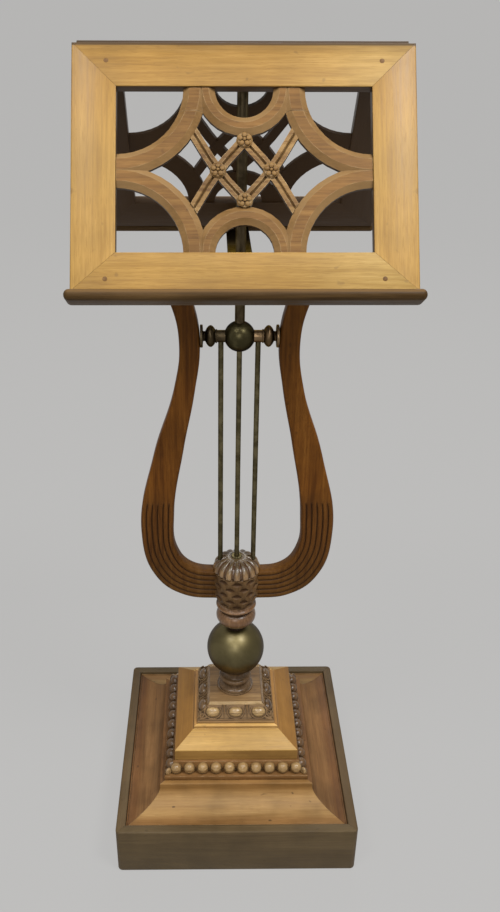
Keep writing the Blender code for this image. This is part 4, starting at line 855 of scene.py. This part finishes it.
def turnedCollar(look):
    # an undercut neck on the ball, a wide torus, a groove and an astragal under the cup
    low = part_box("collar")[0].z
    side = [(0.0192, 0), (0.0188, 0.006), (0.0198, 0.0105), (0.0226, 0.0135)]
    side += bend((0.0222, 0.0308), 0.0165, -80, 62, 30)
    side += [(0.0304, 0.0462), (0.031, 0.0478), (0.0318, 0.0502), (0.0332, 0.0528), (0.0354, 0.0542)]
    side += bend((0.036, 0.0571), 0.0029, -80, 85, 14)
    side += [(0.0356, 0.0606), (0.0354, 0.063), (0.036, look["collarTall"])]
    bm = turnedOn(side, look["collarTall"], low, look)
    carved = bm.verts.layers.float.new("carved")
    # neck and groove darkened: painted shade with dirt
    for vert in bm.verts:
        up = vert.co.z - low
        neck = limited((look["neckTop"] - up) / look["neckFade"])
        groove = limited(look["grooveWide"] - abs(up - look["groove"]) / look["grooveFade"])
        vert[carved] = max(neck, look["grooveShade"] * groove)
    return bm


addPiece("turnedFoot", turnedFoot(stem), "stand", footOak, ["stem_foot"])
addPiece("turnedCollar", turnedCollar(stem), "stand", collarOak, ["collar"])

# brass ball: a spun shell, closed further up round the collar's neck
ball = {"radius": 0.057, "bore": 0.0083, "lowEnd": -65.1, "highEnd": 71.5, "points": 60, "steps": 112}


def brassBall(look):
    low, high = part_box("stem_ball")
    shell = bend((0, (low.z + high.z) / 2), look["radius"], look["lowEnd"], look["highEnd"], look["points"])
    return lathe([(look["bore"], low.z), *shell, (look["bore"], shell[-1][1])], look["steps"], ring=True)


addPiece("brassBall", brassBall(ball), "stand", ballBrass, ["stem_ball"])

# cup carved with rows of lens-shaped hollows, each row half a space on
cup = {"radius": 0.044, "foot": 0.0368, "swellTo": 0.5, "swellBend": 2.4, "count": 10, "rows": 5,
       "lensHalf": 0.7, "lensHigh": 0.74, "lensDroop": 0.25, "depth": 0.0034, "weave": 0.0018, "tone": 0.8,
       "toneGain": 1.3, "inside": 0.03, "steps": 240, "levels": 100, "crease": 60}


def scaleCup(look):
    low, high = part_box("scale_cup")
    tall = high.z - low.z
    side = []
    for i in range(look["levels"] + 1):
        share = i / look["levels"]
        swell = (look["radius"] - look["foot"]) * max(0, 1 - share / look["swellTo"]) ** look["swellBend"]
        side.append((look["radius"] - swell, low.z + tall * share))
    bm = lathe([(stem["bore"], low.z), *side, (stem["bore"], high.z)], look["steps"], ring=True)
    carved = bm.verts.layers.float.new("carved")
    for vert in bm.verts:
        flat = Vector(vert.co[:2])
        if flat.length < look["inside"]:
            continue
        level = (vert.co.z - low.z) / tall * look["rows"]
        row = min(int(level + 1e-6), look["rows"] - 1)
        around = Vector((0, -1)).angle_signed(flat) / (2 * pi) * look["count"] + 0.5 * row
        u = 2 * ((around + 0.5) % 1.0 - 0.5)          # -1 to 1 from one hollow's edge to the other
        v = 2 * (level - row) - 1
        reach = look["lensHigh"] * max(0, 1 - (u / look["lensHalf"]) ** 2)      # half height of the lens here
        dish = max(0, 1 - ((v + look["lensDroop"] * u * u) / reach) ** 2) if reach > 0.02 else 0
        # each hollow darkened by its depth: painted shade with dirt
        vert[carved] = look["tone"] * min(1, look["toneGain"] * dish)
        drawIn(vert, look["depth"] * sqrt(dish) + look["weave"] * (0.5 + 0.5 * cos(pi * u) * cos(pi * v / 2)))
    return bm


addPiece("scaleCup", scaleCup(cup), "stand", cupOak, ["scale_cup"], cup["crease"])

# gadrooned dome: round lobes and open valleys from a small crown to a tucked-in rim
dome = {"radius": 0.045, "crown": 0.014, "foot": 0.006, "tuck": 0.004, "bore": 0.0083, "seatBore": 0.0075,
        "seatDeep": 0.006, "lobes": 16, "lobeShare": 0.8, "depth": 0.0052, "headAt": 0.06, "headRound": 0.1,
        "headFade": 0.26, "toneFrom": 0.42, "toneFade": 0.4, "tone": 0.95, "crownShare": 0.35, "sink": 0.8,
        "steps": 320, "crease": 50}


def gadroonDome(look):
    low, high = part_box("gadroon_dome")
    top = high.z
    rim = look["radius"] - look["crown"]
    squeeze = (top - low.z - look["foot"]) / rim
    outer = [(r, top - (top - z) * squeeze) for r, z in bend((look["crown"], top - rim), rim, 90, 0, 26)]
    outer += bend((look["radius"] - look["tuck"], low.z + 0.0055), look["tuck"], -8, -70, 6)
    outer += [(look["radius"] - look["tuck"], low.z)]
    crown = [(look["seatBore"], top), (0.0118, top), (0.0124, top - 0.0007), (0.0132, top - 0.0007)]
    seat = (look["seatBore"], top - look["seatDeep"])
    profile = [seat, *crown, *outer, (look["bore"], low.z), (look["bore"], top - look["seatDeep"])]
    bm = lathe(profile, look["steps"], ring=True)
    carved = bm.verts.layers.float.new("carved")
    for vert in bm.verts:
        flat = Vector(vert.co[:2])
        share = (flat.length - look["crown"]) / rim
        if share <= 0.02 or vert.co.z < low.z + 0.0005:
            continue
        around = Vector((1, 0)).angle_signed(flat) / (2 * pi) * look["lobes"]
        x = 2 * ((around + 0.5) % 1.0 - 0.5)          # -1 to 1 from valley to valley
        head = look["headAt"] + look["headRound"] * x * x      # lobes begin in round heads
        start = limited((share - head) / look["headFade"])
        valley = look["depth"] * start * (1 - sqrt(max(0, 1 - (x / look["lobeShare"]) ** 2)))
        steep = min(1, share) ** 2
        # the valleys darkened: painted shade with dirt
        vert[carved] = start * limited((abs(x) - look["toneFrom"]) / look["toneFade"]) * look["tone"]
        drawIn(vert, valley * (look["crownShare"] + (1 - look["crownShare"]) * steep))
        vert.co.z -= valley * (1 - steep) * look["sink"]
    return bm


addPiece("gadroonDome", gadroonDome(dome), "stand", domeOak, ["gadroon_dome"], dome["crease"])

ferrule = {"bore": 0.0048, "bush": 0.0068, "flange": 0.01, "thick": 0.0025, "round": 0.0014, "steps": 48}


def domeFerrule(look):
    low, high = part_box("dome_ferrule")
    seat = high.z - look["thick"]
    side = [(look["bush"], low.z), (look["bush"], seat), (look["flange"], seat),
            (look["flange"], seat + 0.0009)]
    side += bend((look["flange"] - look["round"], seat + 0.0011), look["round"], 0, 90, 5)
    side += [(0.0062, high.z - 0.0004), (0.0055, high.z)]
    return lathe([(look["bore"], low.z), *side, (look["bore"], high.z)], look["steps"], ring=True)


addPiece("domeFerrule", domeFerrule(ferrule), "stand", stringBrass, ["dome_ferrule"])
print("stem turned")

# lyre arms: round-edged, reeded front and back below the stop
arm = {"thick": 0.028, "rounding": 0.0045, "footRise": 0.009, "footDepth": 0.064, "reach": 0.1775,
       "belly": 0.16, "bellyDepth": 0.061, "waist": 0.531, "waistHalf": 0.1005, "waistDepth": 0.0346,
       "top": 0.646, "topHalf": 0.135, "topDepth": 0.039, "start": 0.028, "root": 0.033, "reeds": 6,
       "reedDepth": 0.0026, "stop": 0.226, "tip": 0.004, "tipFade": 0.005, "tone": 0.85, "toneFrom": 0.45,
       "toneBend": 1.3, "rimClear": 0.0015, "columns": 60, "smooth": 30, "crease": 50}


def armLines(look):
    # outer and inner edge from the cup upwards, as equal rows of (x, z) points
    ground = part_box("scale_cup")[0].z
    foot = ground + look["footRise"]
    belly, waist, top = ground + look["belly"], ground + look["waist"], ground + look["top"]
    reach, slim = look["reach"], look["waistHalf"] - look["waistDepth"]
    climb = waist - belly
    outer = [(look["start"], foot), (reach * 0.565, foot + 0.009), (reach * 0.855, foot + 0.05),
             (reach, belly), (reach * 0.845, belly + climb * 0.425),
             (look["waistHalf"] + 0.01, belly + climb * 0.775), (look["waistHalf"], waist),
             (look["waistHalf"] + 0.0115, waist + (top - waist) * 0.56), (look["topHalf"], top - 0.006)]
    high = foot + look["footDepth"]
    swell = reach - look["bellyDepth"]
    inner = [(look["start"], high), (reach * 0.48, high + 0.01), (swell - 0.006, belly - 0.045),
             (swell, belly + 0.035), (swell - 0.021, belly + climb * 0.48),
             (slim + 0.0095, belly + climb * 0.765), (slim, waist),
             (slim + 0.01, waist + (top - waist) * 0.56), (look["topHalf"] - look["topDepth"], top)]
    line = bpy.data.curves.new("armLine", "CURVE")
    line.dimensions = "2D"
    line.fill_mode = "NONE"
    line.resolution_u = look["smooth"]
    spline = line.splines.new("BEZIER")
    spline.bezier_points.add(len(outer) + len(inner) - 1)
    corners = (0, len(outer) - 1, len(outer), len(outer) + len(inner) - 1)
    for index, (point, place) in enumerate(zip(spline.bezier_points, outer + inner[::-1])):
        point.co = (*place, 0)
        point.handle_left_type = point.handle_right_type = "VECTOR" if index in corners else "AUTO"
    spline.use_cyclic_u = True
    holder = bpy.data.objects.new("armLine", line)
    scene.collection.objects.link(holder)
    bpy.context.view_layer.update()
    drawn = bpy.data.meshes.new_from_object(holder.evaluated_get(bpy.context.evaluated_depsgraph_get()))
    places = [Vector((v.co.x, v.co.y)) for v in drawn.vertices]
    bpy.data.objects.remove(holder)
    bpy.data.curves.remove(line)
    bpy.data.meshes.remove(drawn)
    half = len(places) // 2
    return places[:half], places[half:][::-1]


def lyreArm(look):
    outer, inner = armLines(look)
    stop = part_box("scale_cup")[0].z + look["stop"]
    pairs = [(a, b) for a, b in zip(outer, inner) if max(a.x, b.x) > look["root"]]
    bm = bmesh.new()
    across = bm.verts.layers.float.new("across")
    width = bm.verts.layers.float.new("width")
    carved = bm.verts.layers.float.new("carved")
    rails = []
    for share in (0, 1):
        row = []
        for pair in pairs:
            vert = bm.verts.new((pair[share].x, 0, pair[share].y))
            vert[across] = share
            vert[width] = (pair[0] - pair[1]).length
            row.append(vert)
        rails += [bm.edges.new(two) for two in zip(row, row[1:])]
    bmesh.ops.bridge_loops(bm, edges=rails)
    rungs = [e for e in bm.edges if e.verts[0][across] != e.verts[1][across]]
    bmesh.ops.subdivide_edges(bm, edges=rungs, cuts=look["columns"] - 1, use_grid_fill=True)
    bmesh.ops.translate(bm, vec=(0, look["thick"], 0), verts=pushed(bm, bm.faces[:]))
    bmesh.ops.translate(bm, vec=(0, -look["thick"] / 2, 0), verts=bm.verts)
    ease = look["rounding"]
    for vert in bm.verts:
        share = vert[across]
        away = min(share, 1 - share) * vert[width]
        drop = ease - sqrt(max(0, ease ** 2 - max(0, ease - away) ** 2))
        f = 2 * ((share * look["reeds"]) % 1.0) - 1      # -1 to 1 across a reed
        reed = look["reedDepth"] * (1 - sqrt(max(0, 1 - f * f)))
        end = stop + look["tip"] * (1 - f * f)           # each reed ends in a round tip
        below = limited((end - vert.co.z) / look["tipFade"])
        drop += reed * below
        # the reed grooves darkened: painted shade with dirt
        groove = max(0, (abs(f) - look["toneFrom"]) / (1 - look["toneFrom"])) ** look["toneBend"]
        vert[carved] = look["tone"] * below * groove * (away > look["rimClear"])
        vert.co.y -= drop * (1 if vert.co.y > 0 else -1)
    bmesh.ops.recalc_face_normals(bm, faces=bm.faces)
    return bm


for side, sign in (("right", 1), ("left", -1)):
    shape = turned(lyreArm(arm), Matrix.Diagonal((sign, 1, 1, 1)))
    addPiece(f"lyreArm.{side}", shape, "stand", armOak, [f"lyre_arm_{side}"], arm["crease"])
print("arms reeded")

# crossbar: a turned spindle each side of the ball
crossbar = {"radius": 0.0102, "ring": 0.018, "neck": 0.008, "disc": 0.019, "discThick": 0.0045,
            "neckLong": 0.005, "ringLong": 0.016, "collar": 0.0014, "ease": 0.0012,
            "tip": 0.0008, "steps": 64}


def crossbarSpindle(look):
    low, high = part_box("crossbar_right")
    radius, neck, ease = look["radius"], look["neck"], look["ease"]
    collar, rim = radius + look["collar"], look["disc"]
    disc = high.x - look["discThick"]
    ringEnd = disc - look["neckLong"]
    ringMiddle = ringEnd - look["ringLong"] / 2
    ringStart = ringMiddle - look["ringLong"] / 2
    bulge = look["ring"] - radius
    side = [(0, low.x), (radius, low.x), (radius, ringStart - 0.0028), (collar, ringStart - 0.0022),
            (collar, ringStart - 0.0004)]
    for i in range(19):      # the ring's round
        side.append((radius + bulge * sin(radians(10 * i)) ** 0.8,
                     ringMiddle + look["ringLong"] * (i / 18 - 0.5)))
    side += [(neck + 0.0006, ringEnd + 0.0008), (neck, ringEnd + 0.0025), (neck + 0.0008, disc - 0.0006)]
    side += [(rim - ease, disc)] + bend((rim - ease, disc + ease), ease, -90, 0, 4)
    side += [(rim, high.x - look["tip"]), (rim - look["tip"], high.x), (0, high.x)]
    level = (low.z + high.z) / 2
    return turned(lathe(side, look["steps"]),
                  Matrix.Translation((0, 0, level)) @ Matrix.Rotation(pi / 2, 4, "Y"))


for side, sign, paint in (("right", 1, copperBronze), ("left", -1, darkBronze)):
    spindle = turned(crossbarSpindle(crossbar), Matrix.Diagonal((sign, 1, 1, 1)))
    addPiece(f"crossbarSpindle.{side}", spindle, "stand", paint, [f"crossbar_{side}"])

knob = {"radius": 0.026, "rod": 0.0048, "pole": 0.0086, "seatDepth": 0.003, "lowEnd": -79, "highEnd": 69.5,
        "points": 44, "steps": 80}
barLevel = sum(corner.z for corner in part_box("clamp_screw")) / 2


def crossbarBall(look):
    seat = barLevel + look["radius"] - look["seatDepth"]
    lowest = barLevel - sqrt(look["radius"] ** 2 - look["rod"] ** 2)
    side = bend((0, barLevel), look["radius"], look["lowEnd"], look["highEnd"], look["points"])
    side = [(look["rod"], lowest), *side, (look["pole"], seat + 0.0012), (look["pole"], seat),
            (look["rod"], seat)]
    return lathe(side, look["steps"], ring=True)


addPiece("crossbarBall", crossbarBall(knob), "stand", shadedKnobBrass, ["crossbar_ball"])

# clamp screw with a milled knob
screw = {"shank": 0.003, "shankLong": 0.021, "collar": 0.0048, "knob": 0.01, "knobLong": 0.011, "mills": 28,
         "millDepth": 0.00035}


def clampScrew(look):
    low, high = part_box("clamp_screw")
    shank, collar, rim, end = look["shank"], look["collar"], look["knob"], high.y
    neck = low.y + look["shankLong"]
    start = end - look["knobLong"]
    side = [(0, low.y), (shank, low.y), (shank, neck), (collar, neck + 0.0004), (collar, start - 0.001),
            (rim - 0.0022, start), (rim - 0.0004, start + 0.0016), (rim, start + 0.0022), (rim, end - 0.0024),
            (rim - 0.0006, end - 0.0014), (rim - 0.0022, end), (0.0052, end), (0.0046, end - 0.0007),
            (0, end - 0.0007)]
    bm = lathe(side, look["mills"] * 4)
    for vert in [v for v in bm.verts if Vector(v.co[:2]).length > rim - 0.0001]:
        turn = Vector((1, 0)).angle_signed(Vector(vert.co[:2])) * look["mills"]
        drawIn(vert, look["millDepth"] * (0.5 - 0.5 * cos(turn)))
    return turned(bm, Matrix.Translation((0, 0, barLevel)) @ Matrix.Rotation(-pi / 2, 4, "X"))


addPiece("clampScrew", clampScrew(screw), "clamp_screw", fittingBrass, ["clamp_screw"])
print("crossbar fitted")

# desks: frame, ledge, rosettes and pegs, made in the front desk's own frame
desk = {"tilt": 32, "ridge": 1.4657, "spread": 0.016, "face": -0.0201, "panelBack": -0.0051,
        "middle": -0.1837}
deskFrame = {"half": 0.24, "top": -0.004, "low": -0.3555, "openHalf": 0.178, "openTop": -0.0666,
             "openLow": -0.3008, "back": -0.0021, "mitre": 0.0001, "ease": 0.0016}
ledge = {"inner": -0.0021, "nose": -0.0341, "middle": -0.3638, "half": 0.008,
         "halfLength": 0.246, "ease": 0.0072}
rosette = {"radius": 0.0102, "thick": 0.0034, "petals": 5, "petal": (0.004, 0.0036, 0.0022),
           "petalOut": 0.0063, "heart": 0.0027, "heartUp": 0.0036, "seat": 0.0082,
           "spots": ((0, 0.0431), (0, -0.0431), (0.037, 0), (-0.037, 0))}
peg = {"radius": 0.0034, "deep": 0.004, "proud": 0.0002,
       "spots": ((-0.192, -0.030), (0.192, -0.030), (-0.192, -0.338), (0.192, -0.338))}


def deskPlace(name):
    turn = Matrix.Rotation(0 if name == "front" else pi, 4, "Z")
    hinge = turn @ Matrix.Translation((0, -desk["spread"] / 2, desk["ridge"]))
    return hinge @ Matrix.Rotation(-radians(desk["tilt"]), 4, "X")


def frameMembers(look):
    # outlines of the four mitred members, seen from the front
    half, top, low, gap = look["half"], look["top"], look["low"], look["mitre"]
    side, openTop, openLow = look["openHalf"], look["openTop"], look["openLow"]
    return {
        "top_rail": [(-half + gap, top), (half - gap, top), (side - gap, openTop), (-side + gap, openTop)],
        "bottom_rail": [(-half + gap, low), (-side + gap, openLow), (side - gap, openLow), (half - gap, low)],
        "left_stile": [(-half, top - gap), (-side, openTop - gap), (-side, openLow + gap),
                       (-half, low + gap)],
        "right_stile": [(half, top - gap), (half, low + gap), (side, openLow + gap), (side, openTop - gap)],
    }


def frameMember(look, outline):
    # a mitred board whose long edges are eased and whose joints stay tight
    bm = bmesh.new()
    face = bm.faces.new([bm.verts.new((x, look["back"], z)) for x, z in outline])
    bmesh.ops.translate(bm, vec=(0, desk["face"] - look["back"], 0), verts=pushed(bm, [face]))
    bmesh.ops.recalc_face_normals(bm, faces=bm.faces)
    longEdges = []
    for edge in bm.edges:
        wide, deep, tall = [abs(a - b) for a, b in zip(edge.verts[0].co, edge.verts[1].co)]
        if deep < 1e-6 and min(wide, tall) < 1e-5:
            longEdges.append(edge)
    bevelEdges(bm, longEdges, look["ease"], 3)
    return bm


def deskLedge(look):
    # bull-nosed strip with eased ends
    bm = bmesh.new()
    line = [(look["inner"], look["middle"] - look["half"])]
    line += bend((look["nose"], look["middle"]), look["half"], 270, 90, 18)
    line += [(look["inner"], look["middle"] + look["half"])]
    face = bm.faces.new([bm.verts.new((-look["halfLength"], y, z)) for y, z in line])
    bmesh.ops.translate(bm, vec=(2 * look["halfLength"], 0, 0), verts=pushed(bm, [face]))
    bmesh.ops.recalc_face_normals(bm, faces=bm.faces)
    softenEdges(bm, look["ease"], 5, 60)
    return bm


def rosetteFlower(look):
    edge = look["radius"]
    bm = lathe([(0, 0), (edge, 0), (edge, 0.0022), (edge - 0.001, 0.0032), (0, look["thick"])], 40)
    for i in range(look["petals"]):
        place = Matrix.Rotation(2 * pi * i / look["petals"] + pi / 2, 4, "Z")
        place = place @ Matrix.Translation((look["petalOut"], 0, look["thick"]))
        boss(bm, place @ Matrix.Diagonal((*look["petal"], 1)))
    boss(bm, Matrix.Translation((0, 0, look["heartUp"])), radius=look["heart"])
    return bm


def latticeRosettes(look):
    whole = bmesh.new()
    for x, y in look["spots"]:
        takeIn(whole, turned(rosetteFlower(look), Matrix.Translation((x, y, look["seat"]))))
    return turned(whole, Matrix.Translation((0, desk["panelBack"], desk["middle"]))
                  @ Matrix.Rotation(pi / 2, 4, "X"))


def framePegs(look):
    whole = bmesh.new()
    side = [(0, -look["deep"]), (look["radius"], -look["deep"]), (look["radius"], 0),
            (look["radius"] - 0.0006, look["proud"]), (0, look["proud"] + 0.0001)]
    for x, z in look["spots"]:
        place = Matrix.Translation((x, desk["face"], z)) @ Matrix.Rotation(pi / 2, 4, "X")
        takeIn(whole, turned(lathe(side, 24), place))
    return whole


for name in ("front", "rear"):
    place = deskPlace(name)
    for member, outline in frameMembers(deskFrame).items():
        paint = railOak if member.endswith("rail") else stileOak
        board = turned(frameMember(deskFrame, outline), place)
        addPiece(f"{name}.{member.replace('_', '.')}", board, f"{name}_desk", paint,
                 [f"{name}_{member}"])
    addPiece(f"{name}Ledge", turned(deskLedge(ledge), place), f"{name}_desk", ledgeOak,
             [f"{name}_ledge"])
    addPiece(f"{name}Rosettes", turned(latticeRosettes(rosette), place), f"{name}_desk",
             latticeOak)
    addPiece(f"{name}Pegs", turned(framePegs(peg), place), f"{name}_desk", pegOak)
print("desks dressed")

# each lamp has a place, a width and a power
studio = {
    "grey": (0.494, 0.488, 0.479),
    "glow": (0.518, 0.513, 0.505),
    "floorHalf": 150.0,
    "floorRough": 0.95,
    "floorShine": 0.1,
    "evenness": 0.88,      # share of the floor's look that takes no shade
    "air": 0.17,
    "lamps": (
        ("keyLamp", (1.6, -1.5, 4.25), 1.2, 114),
        ("leftLamp", (-1.35, -1.5, 4.2), 1.0, 59),
        ("frontLamp", (-0.4, -3.4, 2.6), 1.8, 32),
        ("sparkLamp", (0.1, -2.45, 4.1), 0.6, 10),
        ("backLamp", (0.5, 3.2, 3.0), 2.0, 26),
    ),
    "aim": (0, 0, 0.8),
}


def seenRay(tree):
    path = tree.nodes.new("ShaderNodeLightPath")
    seen = sums(tree, "MAXIMUM", path.outputs["Is Camera Ray"], path.outputs["Is Glossy Ray"])
    return sums(tree, "MAXIMUM", seen, path.outputs["Is Transmission Ray"])


def mixShaders(tree, share, one, other, end):
    mix = addNode(tree, "MixShader", {0: share, 1: one.outputs[0], 2: other.outputs[0]})
    setInputs(tree, tree.nodes[end], {"Surface": mix.outputs[0]})


def layFloor(look):
    bm = bmesh.new()
    bmesh.ops.create_grid(bm, x_segments=1, y_segments=1, size=look["floorHalf"])
    mesh = bpy.data.meshes.new("floor")
    bm.to_mesh(mesh)
    bm.free()
    floor = bpy.data.objects.new("floor", mesh)
    scene.collection.objects.link(floor)
    paint, tree, shader = startPaint("paleFloor")
    setInputs(tree, shader, {"Base Color": look["grey"], "Roughness": look["floorRough"],
                             "Specular IOR Level": look["floorShine"]})
    glow = addNode(tree, "Emission", {"Color": look["glow"]})
    mixShaders(tree, times(tree, seenRay(tree), look["evenness"]), shader, glow, "Material Output")
    mesh.materials.append(paint)


def hangLamp(name, location, size, power):
    data = bpy.data.lights.new(name, "AREA")
    data.shape = "DISK"
    data.size = size
    data.energy = power
    lamp = bpy.data.objects.new(name, data)
    lamp.location = location
    lamp.rotation_euler = (Vector(studio["aim"]) - Vector(location)).to_track_quat("-Z", "Y").to_euler()
    scene.collection.objects.link(lamp)


def fillAir(look):
    world = bpy.data.worlds.new("studioAir")
    scene.world = world
    world.use_nodes = True
    tree = world.node_tree
    lit = tree.nodes["Background"]
    setInputs(tree, lit, {"Color": (1, 1, 1), "Strength": look["air"]})
    shown = addNode(tree, "Background", {"Color": look["grey"]})
    mixShaders(tree, seenRay(tree), lit, shown, "World Output")


layFloor(studio)
for lamp in studio["lamps"]:
    hangLamp(*lamp)
fillAir(studio)
print("studio lit")
